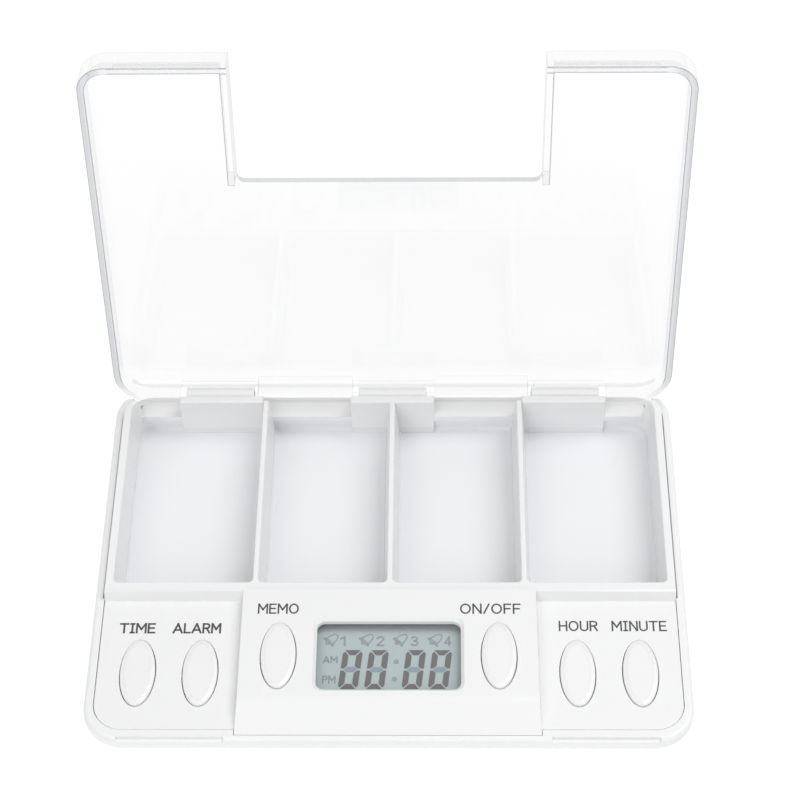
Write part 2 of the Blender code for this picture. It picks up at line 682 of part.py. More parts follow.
def crossbar():
    """Bar between the compartments and the panel, with its sloped front."""
    foot = panel_y(PANEL_DEPTH)
    outline = [(foot, PANEL_UNDER + FIT_GAP), (POCKET_FRONT - FIT_GAP, PANEL_UNDER + FIT_GAP),
               (POCKET_FRONT - FIT_GAP, FRAME_TOP),
               (foot + CROSSBAR_RUN, FRAME_TOP), (foot, RIM_HEIGHT)]
    return profile_prism_x('crossbar', outline, -SEAM_HALF_WIDTH, SEAM_HALF_WIDTH)


def console_form(name, inset):
    """Raised console: sloped front that runs out over the rim, flared sides, flat top.

    With an inset it is the room inside the console, open below.
    """
    half_top = CONSOLE_WIDTH / 2 - inset
    half_foot = half_top + CONSOLE_FLARE
    back = panel_y(PANEL_DEPTH + CROSSBAR_RUN) - inset
    front_top = panel_y(CONSOLE_FRONT) + inset
    if inset:
        foot_z = PANEL_UNDER - CUT_OVERRUN
        front_foot = panel_y(0) + inset
        levels = ((foot_z, half_foot, front_foot), (RIM_HEIGHT - inset / 2, half_foot, front_foot),
                  (CONSOLE_TOP - inset, half_top, front_top))
    else:
        lip = panel_y(-CONSOLE_LIP)
        levels = ((RIM_HEIGHT - CONSOLE_LIP_DROP, half_foot, lip), (RIM_HEIGHT, half_foot, lip),
                  (CONSOLE_TOP, half_top, front_top))
    rings = []
    for z, half, front in levels:
        rings.append([Vector((-half, front, z)), Vector((half, front, z)),
                      Vector((half, back, z)), Vector((-half, back, z))])
    return loft(name, rings)


def add_posts(housing):
    """Posts for the housing screws and the board screws."""
    for x in mirrored(HOUSING_SCREW_X):
        bored_boss(housing, x, panel_y(HOUSING_SCREW_Y), POST_FOOT_Z,
                   PANEL_UNDER + FIT_GAP, POST_RADIUS)
    for x, y in board_screw_places():
        bored_boss(housing, x, y, BOARD_TOP_Z + FIT_GAP, PANEL_UNDER + 2 * FIT_GAP,
                   BOARD_POST_RADIUS)


def drill_posts(housing):
    """Pilot holes in the posts."""
    for x in mirrored(HOUSING_SCREW_X):
        bore(housing, x, panel_y(HOUSING_SCREW_Y), POST_FOOT_Z - FIT_GAP,
             PANEL_UNDER - FIT_GAP, SCREW_SHANK_RADIUS + FIT_GAP)
    for x, y in board_screw_places():
        bore(housing, x, y, BOARD_TOP_Z, PANEL_UNDER - FIT_GAP, SCREW_SHANK_RADIUS + FIT_GAP)


def board_screw_places():
    """Middle of each board screw, seen from above."""
    places = [(x, panel_y(BOARD_SCREW_BACK_Y)) for x in mirrored(BOARD_SCREW_X)]
    places += [(x, panel_y(BOARD_SCREW_FRONT_Y)) for x in mirrored(BOARD_SCREW_X)]
    return places


def lower_back_wall(housing):
    """Lower the tray's back wall between its side frames, for the lid's hinge side."""
    cut(housing, box('drop', -POCKET_HALF_WIDTH, POCKET_HALF_WIDTH, POCKET_BACK - TRAY_DRAFT,
                     BODY_DEPTH, RIM_HEIGHT - TRAY_BACK_DROP, FRAME_TOP + CUT_OVERRUN))


def hinge_places(spacing):
    """Middle of each of the three hinge positions."""
    return (-spacing, 0.0, spacing)


def add_hinge_blocks(housing):
    """Three blocks on the back wall, each with a knuckle behind it."""
    block_back = HINGE_Y - KNUCKLE_RADIUS
    for x in hinge_places(BLOCK_SPACING):
        join(housing, box('block', x - BLOCK_LENGTH / 2, x + BLOCK_LENGTH / 2,
                          block_back - BLOCK_DEPTH, block_back,
                          TRAY_FLOOR_TOP - TRAY_FLOOR / 2, FRAME_TOP))
    for x in hinge_places(KNUCKLE_SPACING):
        x0 = x - KNUCKLE_LENGTH / 2
        x1 = x + KNUCKLE_LENGTH / 2
        web = [(block_back - BLOCK_DEPTH / 2, RIM_HEIGHT - TRAY_BACK_DROP - TRAY_WALL),
               (TRAY_BACK, RIM_HEIGHT - TRAY_BACK_DROP - TRAY_WALL),
               (HINGE_Y, HINGE_Z - KNUCKLE_RADIUS / 2),
               (HINGE_Y, HINGE_Z + KNUCKLE_RADIUS / 2),
               (block_back - BLOCK_DEPTH / 2, HINGE_Z + KNUCKLE_RADIUS / 2)]
        join(housing, profile_prism_x('web', web, x0, x1))
        join(housing, rod_x('knuckle', x0, x1, HINGE_Y, HINGE_Z, KNUCKLE_RADIUS))
    for x, side in peg_faces():
        deep = x + side * SOCKET_DEPTH
        near = x - side * CUT_OVERRUN
        cut(housing, rod_x('socket', min(near, deep), max(near, deep), HINGE_Y, HINGE_Z,
                           PEG_RADIUS + FIT_GAP))


def peg_faces():
    """Knuckle ends that take a peg, and the direction into each."""
    inner = KNUCKLE_LENGTH / 2
    outer = KNUCKLE_SPACING - KNUCKLE_LENGTH / 2
    return ((-outer, -1), (-inner, 1), (inner, -1), (outer, 1))


def add_hooks(housing):
    """Two hooks that hold the housing's back edge in the base."""
    foot = RIM_HEIGHT - HOOK_DROP
    for x in mirrored(HOOK_SPACING / 2):
        join(housing, box('hook', x - HOOK_WIDTH / 2, x + HOOK_WIDTH / 2,
                          TRAY_BACK - TRAY_BACK_WALL / 2, TRAY_BACK + HOOK_REACH,
                          foot, foot + HOOK_HEIGHT))


def key_table():
    """Name, place and top height of each key."""
    panel = panel_y(PANEL_KEY_Y)
    console = panel_y(CONSOLE_KEY_Y)
    return (
        ('time', -OUTER_KEY_X, panel, RIM_HEIGHT),
        ('alarm', -INNER_KEY_X, panel, RIM_HEIGHT),
        ('memo', -CONSOLE_KEY_X, console, CONSOLE_TOP),
        ('on_off', CONSOLE_KEY_X, console, CONSOLE_TOP),
        ('hour', INNER_KEY_X, panel, RIM_HEIGHT),
        ('minute', OUTER_KEY_X, panel, RIM_HEIGHT),
    )


def cut_key_holes(housing):
    """Oval hole for each key."""
    for _, x, y, top in key_table():
        rings = [oval_ring(x, y, KEY_WIDTH + 2 * FIT_GAP, KEY_LENGTH + 2 * FIT_GAP, z)
                 for z in (top - PANEL_WALL - FIT_GAP, top + CUT_OVERRUN)]
        cut(housing, loft('key_hole', rings))


def cut_window(housing):
    """Display window with a chamfered edge."""
    y = panel_y(DISPLAY_Y)
    rings = []
    for z, growth in ((CONSOLE_UNDER - CUT_OVERRUN / 2, 0), (CONSOLE_TOP - WINDOW_CHAMFER, 0),
                      (CONSOLE_TOP, WINDOW_CHAMFER), (CONSOLE_TOP + CUT_OVERRUN, WINDOW_CHAMFER)):
        rings.append(rounded_ring(-WINDOW_WIDTH / 2 - growth, WINDOW_WIDTH / 2 + growth,
                                  y - WINDOW_HEIGHT / 2 - growth, y + WINDOW_HEIGHT / 2 + growth,
                                  WINDOW_CORNER + growth, z))
    cut(housing, loft('window', rings))


def lid_ring(inset, z):
    """Outline of the lid at one height, brought in by an inset."""
    rear = LID_REAR_CORNER - inset
    front = LID_FRONT_CORNER - inset
    return rounded_ring(-LID_WIDTH / 2 + inset, LID_WIDTH / 2 - inset,
                        LID_FRONT + inset, LID_BACK - inset, (rear, rear, front, front), z)


def lid_body():
    """Solid outer form of the closed lid."""
    rings = [lid_ring(0, LID_RIM_Z)]
    for turn in (0, 30, 60, 90):
        inset = LID_EDGE_ROUND * (1 - math.cos(math.radians(turn)))
        z = LID_TOP_Z - LID_EDGE_ROUND * (1 - math.sin(math.radians(turn)))
        rings.append(lid_ring(inset, z))
    return loft('lid', rings)


def build_lid():
    """Clear lid, modelled closed: plate, walls, console notch, hinge tabs and tongues."""
    lid = lid_body()
    cut(lid, lid_room())
    notch_back = LID_FRONT + NOTCH_DEPTH
    cut(lid, rounded_slab('notch', -NOTCH_WIDTH / 2, NOTCH_WIDTH / 2, LID_FRONT - BODY_DEPTH,
                          notch_back, LID_RIM_Z - CUT_OVERRUN, LID_TOP_Z + CUT_OVERRUN,
                          NOTCH_CORNER))
    open_rear_wall(lid)
    add_tabs(lid)
    add_tongues(lid)
    return lid


def lid_room():
    """Space under the lid's plate, less the two walls beside the notch."""
    rings = [lid_ring(LID_WALL, z)
             for z in (LID_RIM_Z - CUT_OVERRUN, LID_TOP_Z - LID_PLATE)]
    room = loft('room', rings)
    notch_end = LID_FRONT + NOTCH_DEPTH - NOTCH_WALL_SHORT
    for side in (-1, 1):
        near = side * (NOTCH_WIDTH / 2 - FIT_GAP)
        far = side * (NOTCH_WIDTH / 2 + NOTCH_WALL)
        cut(room, box('wall', min(near, far), max(near, far), LID_FRONT, notch_end,
                      LID_RIM_Z - 2 * CUT_OVERRUN, LID_TOP_Z))
    return room


def open_rear_wall(lid):
    """Gaps in the rear wall for the knuckles and their blocks."""
    inner = TAB_START + TAB_LENGTH
    spans = ((-REAR_WALL_INNER, -inner), (-TAB_START, TAB_START), (inner, REAR_WALL_INNER))
    for x0, x1 in spans:
        cut(lid, box('gap', x0, x1, LID_BACK - LID_WALL - FIT_GAP, LID_BACK + CUT_OVERRUN,
                     LID_RIM_Z - CUT_OVERRUN, LID_TOP_Z - LID_PLATE))


def add_tabs(lid):
    """Two thick tabs with a barrel and a peg at each end."""
    front = LID_BACK - TAB_DEPTH
    for side in (-1, 1):
        x0 = side * TAB_START
        x1 = side * (TAB_START + TAB_LENGTH)
        x0, x1 = min(x0, x1), max(x0, x1)
        join(lid, box('tab', x0, x1, front, LID_BACK - FIT_GAP / 3, HINGE_Z,
                      LID_TOP_Z - LID_PLATE / 2))
        join(lid, rod_x('barrel', x0, x1, HINGE_Y, HINGE_Z, BARREL_RADIUS))
        join(lid, rod_x('pegs', x0 - PEG_LENGTH, x1 + PEG_LENGTH, HINGE_Y, HINGE_Z, PEG_RADIUS))


def add_tongues(lid):
    """Tongues under the front wall that sit in the base's rebates."""
    for side in (-1, 1):
        near = side * (CATCH_START + FIT_GAP)
        far = side * (CATCH_START + CATCH_LENGTH - FIT_GAP)
        near, far = min(near, far), max(near, far)
        front = -BODY_DEPTH / 2 + TONGUE_SETBACK
        join(lid, box('bead', near, far, front, LID_FRONT + LID_WALL / 2,
                      LID_RIM_Z, LID_RIM_Z + TONGUE_BEAD))
        join(lid, box('tongue', near, far, front, front + TONGUE_THICKNESS,
                      LID_RIM_Z - TONGUE_DROP, LID_RIM_Z + TONGUE_BEAD / 2))


def open_lid(lid):
    """Put the lid's origin on its hinge and turn it open."""
    move_origin(lid, Vector((0, HINGE_Y, HINGE_Z)))
    lid.rotation_euler = (-math.radians(LID_OPEN_DEGREES), 0, 0)


def build_key(name, x, y, top):
    """Oval key with a soft crown, a flange under the panel and a foot over its switch."""
    flange_top = top - PANEL_WALL - FIT_GAP
    stations = (
        (flange_top - KEY_FLANGE_THICKNESS, KEY_FLANGE),
        (flange_top, KEY_FLANGE),
        (flange_top, 0),
        (top + KEY_PROUD - KEY_CROWN, 0),
        (top + KEY_PROUD - KEY_CROWN / 3, -KEY_CROWN),
        (top + KEY_PROUD, -2 * KEY_CROWN),
    )
    rings = [oval_ring(x, y, KEY_WIDTH + 2 * growth, KEY_LENGTH + 2 * growth, z)
             for z, growth in stations]
    key = loft('key_' + name, rings)
    if flange_top - KEY_FLANGE_THICKNESS > KEY_FOOT_Z + FIT_GAP:
        join(key, turned('stem', x, y, [(KEY_STEM_RADIUS, KEY_FOOT_Z),
                                        (KEY_STEM_RADIUS, flange_top)]))
    move_origin(key, Vector((x, y, KEY_FOOT_Z)))
    return key


def build_switch(name, x, y):
    """Body of a small push switch, open above for its plunger."""
    half = SWITCH_SIDE / 2
    body = box('switch_' + name, x - half, x + half, y - half, y + half,
               SWITCH_FOOT_Z, SWITCH_TOP_Z)
    bore(body, x, y, SWITCH_TOP_Z - SWITCH_BORE_DEPTH, SWITCH_TOP_Z + CUT_OVERRUN,
         PLUNGER_RADIUS + FIT_GAP)
    return body


def build_plunger(name, x, y):
    """Plunger that the key presses into the switch."""
    plunger = turned('plunger_' + name, x, y, [(PLUNGER_RADIUS, PLUNGER_TOP_Z - PLUNGER_LENGTH),
                                               (PLUNGER_RADIUS, PLUNGER_TOP_Z)], SMALL_SIDES)
    move_origin(plunger, Vector((x, y, PLUNGER_TOP_Z)))
    return plunger


def build_board():
    """Circuit board with holes for the posts and screws."""
    board = rounded_slab('circuit_board', -BOARD_WIDTH / 2, BOARD_WIDTH / 2,
                         panel_y(BOARD_FRONT), panel_y(BOARD_FRONT + BOARD_DEPTH),
                         BOARD_FOOT_Z, BOARD_TOP_Z, BOARD_CORNER)
    for x in mirrored(HOUSING_SCREW_X):
        bore(board, x, panel_y(HOUSING_SCREW_Y), BOARD_FOOT_Z - CUT_OVERRUN,
             BOARD_TOP_Z + CUT_OVERRUN, POST_RADIUS + FIT_GAP)
    for x, y in board_screw_places():
        bore(board, x, y, BOARD_FOOT_Z - CUT_OVERRUN, BOARD_TOP_Z + CUT_OVERRUN,
             SCREW_SHANK_RADIUS + FIT_GAP)
    return board


def build_display():
    """Window lens, display glass, its holder and the two contact strips."""
    y = panel_y(DISPLAY_Y)
    half_x = WINDOW_WIDTH / 2 + LENS_BORDER
    half_y = WINDOW_HEIGHT / 2 + LENS_BORDER
    lens = rounded_slab('window_lens', -half_x, half_x, y - half_y, y + half_y,
                        LENS_FOOT_Z, LENS_TOP_Z, WINDOW_CORNER)
    glass = box('display_glass', -GLASS_WIDTH / 2, GLASS_WIDTH / 2, y - GLASS_HEIGHT / 2,
                y + GLASS_HEIGHT / 2, GLASS_FOOT_Z, GLASS_TOP_Z)
    inner_x = GLASS_WIDTH / 2 + FIT_GAP
    inner_y = GLASS_HEIGHT / 2 + FIT_GAP
    holder = box('display_holder', -inner_x - HOLDER_WALL, inner_x + HOLDER_WALL,
                 y - inner_y - HOLDER_WALL, y + inner_y + HOLDER_WALL,
                 BOARD_TOP_Z + FIT_GAP, GLASS_TOP_Z)
    cut(holder, box('holder_room', -inner_x, inner_x, y - inner_y, y + inner_y,
                    BOARD_TOP_Z, GLASS_TOP_Z + CUT_OVERRUN))
    strips = []
    for name, side in (('front', -1), ('rear', 1)):
        outer = y + side * (GLASS_HEIGHT / 2 - FIT_GAP)
        inner = outer - side * STRIP_WIDTH
        strips.append(box('contact_strip_' + name, -STRIP_LENGTH / 2, STRIP_LENGTH / 2,
                          min(outer, inner), max(outer, inner),
                          BOARD_TOP_Z + FIT_GAP, GLASS_FOOT_Z - FIT_GAP))
    return lens, glass, holder, strips


def build_under_board():
    """Buzzer, clock chip and quartz crystal under the board."""
    y = panel_y(BUZZER_Y)
    foot = UNDER_BOARD_Z - BUZZER_HEIGHT
    buzzer = turned('buzzer', BUZZER_X, y, [(BUZZER_RADIUS, foot),
                                            (BUZZER_RADIUS, UNDER_BOARD_Z)])
    bore(buzzer, BUZZER_X, y, foot - CUT_OVERRUN, foot + BUZZER_PORT_DEPTH, BUZZER_PORT_RADIUS)
    stations = []
    for turn in (90, 60, 30, 0):
        angle = math.radians(turn)
        stations.append((CHIP_RADIUS * (1 + math.cos(angle)) / 2,
                         UNDER_BOARD_Z - CHIP_HEIGHT * math.sin(angle)))
    chip = turned('clock_chip', CHIP_X, panel_y(CHIP_Y), stations)
    crystal = rod_x('quartz_crystal', CRYSTAL_X - CRYSTAL_LENGTH / 2,
                    CRYSTAL_X + CRYSTAL_LENGTH / 2, panel_y(CRYSTAL_Y),
                    UNDER_BOARD_Z - CRYSTAL_RADIUS, CRYSTAL_RADIUS, SMALL_SIDES)
    return buzzer, chip, crystal


def build_cell():
    """Coin cell with its smaller face up."""
    y = panel_y(CELL_Y)
    return turned('coin_cell', 0, y, [(CELL_RADIUS, CELL_FOOT_Z),
                                      (CELL_RADIUS, CELL_TOP_Z - CELL_RIM),
                                      (CELL_RADIUS - CELL_RIM, CELL_TOP_Z - CELL_RIM / 2),
                                      (CELL_RADIUS - CELL_RIM, CELL_TOP_Z)])


def build_contacts():
    """Spring strips from the board to the cell's top and side."""
    y = panel_y(CELL_Y)
    half = CONTACT_WIDTH / 2
    low = CELL_TOP_Z + FIT_GAP
    top = UNDER_BOARD_Z
    thick = CONTACT_THICKNESS
    reach = CONTACT_REACH
    outline = [(y - reach / 2, low), (y + reach / 2, low), (y + reach, top - thick),
               (y + 1.5 * reach, top - thick), (y + 1.5 * reach, top), (y + reach - thick, top),
               (y + reach / 2 - thick, low + thick), (y - reach / 2, low + thick)]
    negative = profile_prism_x('cell_contact_negative', outline, -half, half)
    near = CELL_RADIUS + FIT_GAP
    positive = box('cell_contact_positive', near, near + thick, y - half, y + half,
                   CELL_FOOT_Z + CELL_THICKNESS / 4, top)
    join(positive, box('foot', near, near + reach / 2, y - half, y + half, top - thick, top))
    return negative, positive


def build_door():
    """Cell door that follows the underside, with a tongue and a screw ear."""
    y = panel_y(CELL_Y)
    door = shell_body('cell_door')
    combine(door, door_outline('door_cut', 0, -CUT_OVERRUN, BASE_INSIDE - FIT_GAP), 'INTERSECT')
    neck = CELL_RADIUS + FIT_GAP
    half = DOOR_TONGUE_WIDTH / 2
    join(door, box('neck', -neck - DOOR_TONGUE_NECK, -neck, y - half, y + half,
                   BASE_FLOOR / 2, BASE_INSIDE + FIT_GAP + DOOR_TONGUE_HEIGHT / 2))
    reach = CELL_RADIUS + DOOR_OVERLAP + DOOR_TONGUE_REACH
    join(door, box('tongue', -reach, -neck, y - half, y + half, BASE_INSIDE + FIT_GAP,
                   BASE_INSIDE + DOOR_TONGUE_HEIGHT))
    bore(door, DOOR_EAR_X, y, -CUT_OVERRUN, BASE_FLOOR + CUT_OVERRUN,
         SCREW_SHANK_RADIUS + FIT_GAP)
    bore(door, DOOR_EAR_X, y, -CUT_OVERRUN, door_head_top(), SCREW_HEAD_RADIUS + FIT_GAP)
    return door


def door_head_top():
    """Seat of the door screw's head."""
    return BASE_FLOOR / 2


def build_screw(name, x, y, head_foot, head_height, length):
    """Screw that points up: slotted head below, shank above."""
    neck = head_foot + head_height
    screw = turned(name, x, y, [(SCREW_HEAD_RADIUS, head_foot), (SCREW_HEAD_RADIUS, neck),
                                (SCREW_SHANK_RADIUS, neck),
                                (SCREW_SHANK_RADIUS, neck + length)], SMALL_SIDES)
    cut(screw, box('screw_slot', x - SCREW_HEAD_RADIUS * 2, x + SCREW_HEAD_RADIUS * 2,
                   y - SCREW_SLOT_WIDTH / 2, y + SCREW_SLOT_WIDTH / 2,
                   head_foot - CUT_OVERRUN, head_foot + min(SCREW_SLOT_DEPTH, head_height / 2)))
    return screw


def build_screws():
    """Housing screws, board screws and the door screw."""
    screws = []
    for side, x in zip(('left', 'right'), mirrored(HOUSING_SCREW_X)):
        screws.append(build_screw('housing_screw_' + side, x, panel_y(HOUSING_SCREW_Y),
                                  housing_head_z(), SCREW_HEAD_HEIGHT, HOUSING_SCREW_LENGTH))
    names = ('back_left', 'back_right', 'front_left', 'front_right')
    for name, (x, y) in zip(names, board_screw_places()):
        screws.append(build_screw('board_screw_' + name, x, y,
                                  UNDER_BOARD_Z - SCREW_HEAD_HEIGHT,
                                  SCREW_HEAD_HEIGHT, BOARD_SCREW_LENGTH))
    head = door_head_top() - FIT_GAP
    screws.append(build_screw('door_screw', DOOR_EAR_X, panel_y(CELL_Y), FIT_GAP / 2,
                              head - FIT_GAP / 2, DOOR_SCREW_LENGTH))
    return screws


def main():
    """Build every piece and give it its material."""
    clear_scene()
    white = plastic('white_plastic', (0.86, 0.87, 0.87), 0.28)
    key_white = plastic('key_plastic', (0.84, 0.85, 0.85), 0.35)
    clear = plastic('clear_plastic', (0.93, 0.95, 0.97), 0.05, alpha=0.25)
    board_green = plastic('board_green', (0.03, 0.22, 0.10), 0.5)
    black = plastic('black_plastic', (0.02, 0.02, 0.02), 0.5)
    grey_rubber = plastic('grey_rubber', (0.25, 0.25, 0.26), 0.8)
    display_grey = plastic('display_grey', (0.50, 0.56, 0.54), 0.2)
    steel = plastic('steel', (0.6, 0.6, 0.6), 0.3, metallic=1.0)

    dress(build_base_shell(), white)
    dress(build_top_housing(), white)
    lid = build_lid()
    open_lid(lid)
    dress(lid, clear)
    for name, x, y, top in key_table():
        dress(build_key(name, x, y, top), key_white)
        dress(build_switch(name, x, y), black)
        dress(build_plunger(name, x, y), grey_rubber)
    dress(build_board(), board_green)
    lens, glass, holder, strips = build_display()
    dress(lens, clear)
    dress(glass, display_grey)
    dress(holder, white)
    for strip in strips:
        dress(strip, grey_rubber)
    buzzer, chip, crystal = build_under_board()
    dress(buzzer, black)
    dress(chip, black)
    dress(crystal, steel)
    dress(build_cell(), steel)
    for contact in build_contacts():
        dress(contact, steel)
    dress(build_door(), white)
    for screw in build_screws():
        dress(screw, steel)


main()
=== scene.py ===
"""Dressed model of an electronic pill box: white housing, clear hinged lid, six keys, small display."""
import logging
import math
from dataclasses import dataclass, field
from enum import Enum
from functools import cache
from typing import Callable, Optional, Sequence

import bmesh
import bpy
from mathutils import Matrix, Vector


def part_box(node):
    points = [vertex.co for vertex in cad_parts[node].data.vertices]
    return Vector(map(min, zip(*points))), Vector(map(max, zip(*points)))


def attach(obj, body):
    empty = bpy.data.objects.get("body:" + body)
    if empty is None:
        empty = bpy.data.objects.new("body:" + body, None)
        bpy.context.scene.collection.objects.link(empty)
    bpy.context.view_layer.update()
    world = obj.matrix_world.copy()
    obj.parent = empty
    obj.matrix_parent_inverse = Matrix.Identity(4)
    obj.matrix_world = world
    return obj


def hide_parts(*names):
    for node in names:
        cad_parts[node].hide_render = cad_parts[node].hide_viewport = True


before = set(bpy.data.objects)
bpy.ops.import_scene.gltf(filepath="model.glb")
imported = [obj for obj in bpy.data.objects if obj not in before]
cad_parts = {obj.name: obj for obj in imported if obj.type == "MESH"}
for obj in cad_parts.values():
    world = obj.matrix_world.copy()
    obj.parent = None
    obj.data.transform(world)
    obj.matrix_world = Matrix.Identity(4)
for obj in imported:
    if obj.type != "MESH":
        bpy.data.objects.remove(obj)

LOG = logging.getLogger("pill_box")
MM = 0.001
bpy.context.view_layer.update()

# Sizes that several pieces share, in millimetres and degrees.
RIM = 13.4
PANEL_FRONT = -39.9
CONSOLE_TOP = 15.9
HINGE_Y = 40.1
HINGE_Z = 13.6
OPEN_ANGLE = 97.5

# Where a cutting tool ends, well clear of the piece: beside it, before or behind it, and above it.
FAR = 80.0
OUT = 60.0
ABOVE = 30.0

Pair = tuple[float, float]
Point = tuple[float, float, float]
Stroke = list[Pair]
Check = Callable[[Vector], bool]
Test = Callable[[Vector, Vector], bool]


class Slot(Enum):
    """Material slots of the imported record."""

    WHITE = "white_plastic"
    KEY = "key_plastic"
    CLEAR = "clear_plastic"
    BLACK = "black_plastic"


class Rider(Enum):
    """Bodies that the pieces ride on."""

    HOUSING = "housing"
    LID = "lid"
    TIME = "time_key"
    ALARM = "alarm_key"
    MEMO = "memo_key"
    ON_OFF = "on_off_key"
    HOUR = "hour_key"
    MINUTE = "minute_key"


class Wave:
    """A shader socket that Python expressions can be written with."""

    def __init__(self, tree: bpy.types.NodeTree, socket: bpy.types.NodeSocket) -> None:
        """Keep the tree and the socket that later Math nodes join."""
        self.tree = tree
        self.socket = socket

    def math(self, operation: str, *values: "Wave | float") -> "Wave":
        """Add one Math node.

        Args:
            operation: Blender's name of the operation.
            values: its inputs, in order.

        Returns:
            The node's result.
        """
        node = self.tree.nodes.new("ShaderNodeMath")
        node.operation = operation
        for value, target in zip(values, node.inputs):
            if isinstance(value, Wave):
                self.tree.links.new(value.socket, target)
            else:
                target.default_value = value
        return Wave(self.tree, node.outputs[0])

    def __add__(self, other: "Wave | float") -> "Wave":
        """Sum."""
        return self.math("ADD", self, other)

    def __sub__(self, other: "Wave | float") -> "Wave":
        """Difference."""
        return self.math("SUBTRACT", self, other)

    def __rsub__(self, other: float) -> "Wave":
        """Difference with a number on the left."""
        return self.math("SUBTRACT", other, self)

    def __mul__(self, other: "Wave | float") -> "Wave":
        """Product."""
        return self.math("MULTIPLY", self, other)

    def __pow__(self, other: float) -> "Wave":
        """Power."""
        return self.math("POWER", self, other)

    def __abs__(self) -> "Wave":
        """Size without its sign."""
        return self.math("ABSOLUTE", self)

    __radd__ = __add__
    __rmul__ = __mul__

    def between(self, low: float, high: float) -> "Wave":
        """Smooth step from 0 to 1.

        Args:
            low: the value that gives 0.
            high: the value that gives 1.

        Returns:
            The stepped value.
        """
        node = self.tree.nodes.new("ShaderNodeMapRange")
        node.interpolation_type = "SMOOTHSTEP"
        self.tree.links.new(self.socket, node.inputs["Value"])
        node.inputs["From Min"].default_value = low
        node.inputs["From Max"].default_value = high
        return Wave(self.tree, node.outputs["Result"])

    def inside(self, low: float, high: float, soft: float) -> "Wave":
        """1 between two values, with edges of a given softness, and 0 elsewhere."""
        return self.between(low, low + soft) * (1.0 - self.between(high - soft, high))


class Recipe:
    """One material under construction: its node tree and its Principled shader."""

    def __init__(self, name: str) -> None:
        """Start an empty material with a Principled shader.

        Args:
            name: the material's name.
        """
        self.material = bpy.data.materials.new(name)
        self.material.use_nodes = True
        self.tree = self.material.node_tree
        self.shader = self.tree.nodes["Principled BSDF"]
        self.spot = self.node("ShaderNodeTexCoord")
        self.place = self.spot.outputs["Object"]

    def node(
        self, kind: str, settings: Optional[dict] = None, *values: object, **named: object
    ) -> bpy.types.Node:
        """Add any node.

        Args:
            kind: the node's type.
            settings: its settings, which are set first.
            values: values, sockets or Waves for its first inputs, in order.
            named: the same for inputs by name; underscores stand for spaces.

        Returns:
            The node.
        """
        made = self.tree.nodes.new(kind)
        for key, value in (settings or {}).items():
            setattr(made, key, value)
        for value, target in zip(values, made.inputs):
            self.join(value, target)
        for key, value in named.items():
            self.join(value, made.inputs[key.replace("_", " ")])
        return made

    def join(self, value: object, target: bpy.types.NodeSocket) -> None:
        """Link a socket or a Wave to an input, or set the input's own value.

        Args:
            value: the value, socket or Wave.
            target: the input.
        """
        if isinstance(value, Wave):
            value = value.socket
        if isinstance(value, bpy.types.NodeSocket):
            self.tree.links.new(value, target)
        else:
            target.default_value = value

    def set(self, **named: object) -> None:
        """Set or link the Principled shader's inputs; underscores stand for spaces."""
        for key, value in named.items():
            self.join(value, self.shader.inputs[key.replace("_", " ")])

    def wave(self, node: bpy.types.Node, output: str) -> Wave:
        """One output of a node."""
        return Wave(self.tree, node.outputs[output])

    def axis(self, name: str) -> Wave:
        """X, Y or Z of the point on the piece, in metres."""
        return self.wave(self.node("ShaderNodeSeparateXYZ", Vector=self.place), name)

    def along(self, direction: Point) -> Wave:
        """How far the surface faces along a direction, to its front or its back.

        Args:
            direction: the direction on the piece.

        Returns:
            0 where the surface lies along it, 1 where it stands square to it.
        """
        settings = {"operation": "DOT_PRODUCT"}
        made = self.node("ShaderNodeVectorMath", settings, self.spot.outputs["Normal"], direction)
        return abs(self.wave(made, "Value"))

    def noise(self, scale: float, detail: float = 2.0, stretch: Point = (1.0, 1.0, 1.0)) -> Wave:
        """Noise over the piece.

        Args:
            scale: how fine it is, per metre.
            detail: its octaves.
            stretch: scale along X, Y and Z.

        Returns:
            The noise value, about 0.5 on average.
        """
        mapped = self.node("ShaderNodeMapping", Vector=self.place, Scale=stretch)
        made = self.node("ShaderNodeTexNoise", Vector=mapped.outputs[0], Scale=scale, Detail=detail)
        return self.wave(made, "Fac")

    def blend(self, mask: Wave, low: object, high: object) -> bpy.types.NodeSocket:
        """Mix two colours.

        Args:
            mask: 0 for the first colour, 1 for the second.
            low: the first colour, or a socket that gives it.
            high: the second colour, or a socket that gives it.

        Returns:
            The colour socket.
        """
        mix = self.node("ShaderNodeMix", {"data_type": "RGBA"}, mask)
        for value, target in ((low, mix.inputs[6]), (high, mix.inputs[7])):
            self.join(value if isinstance(value, bpy.types.NodeSocket) else (*value, 1.0), target)
        return mix.outputs[2]

    def bump(self, height: Wave, strength: float, distance: float) -> None:
        """Give the shader a bump of a height map, with its strength and its depth in metres."""
        made = self.node("ShaderNodeBump", Height=height, Strength=strength, Distance=distance)
        self.set(Normal=made.outputs[0])

    def polish(self, straight: float, roughness: float) -> None:
        """Lay a polished clear surface over the shader, stronger at a glancing view.

        Args:
            straight: how much it reflects straight on.
            roughness: its roughness.
        """
        facing = self.wave(self.node("ShaderNodeLayerWeight", Blend=0.5), "Facing")
        shine = self.node("ShaderNodeBsdfAnisotropic", Roughness=roughness)
        share = facing ** 5.0 * (1.0 - straight) + straight
        over = self.node("ShaderNodeMixShader", None, share, self.shader.outputs[0], shine.outputs[0])
        self.join(over.outputs[0], self.tree.nodes["Material Output"].inputs["Surface"])


def dim(colour: Point, share: float) -> Point:
    """A darker tone of a colour."""
    return tuple(tone * share for tone in colour)


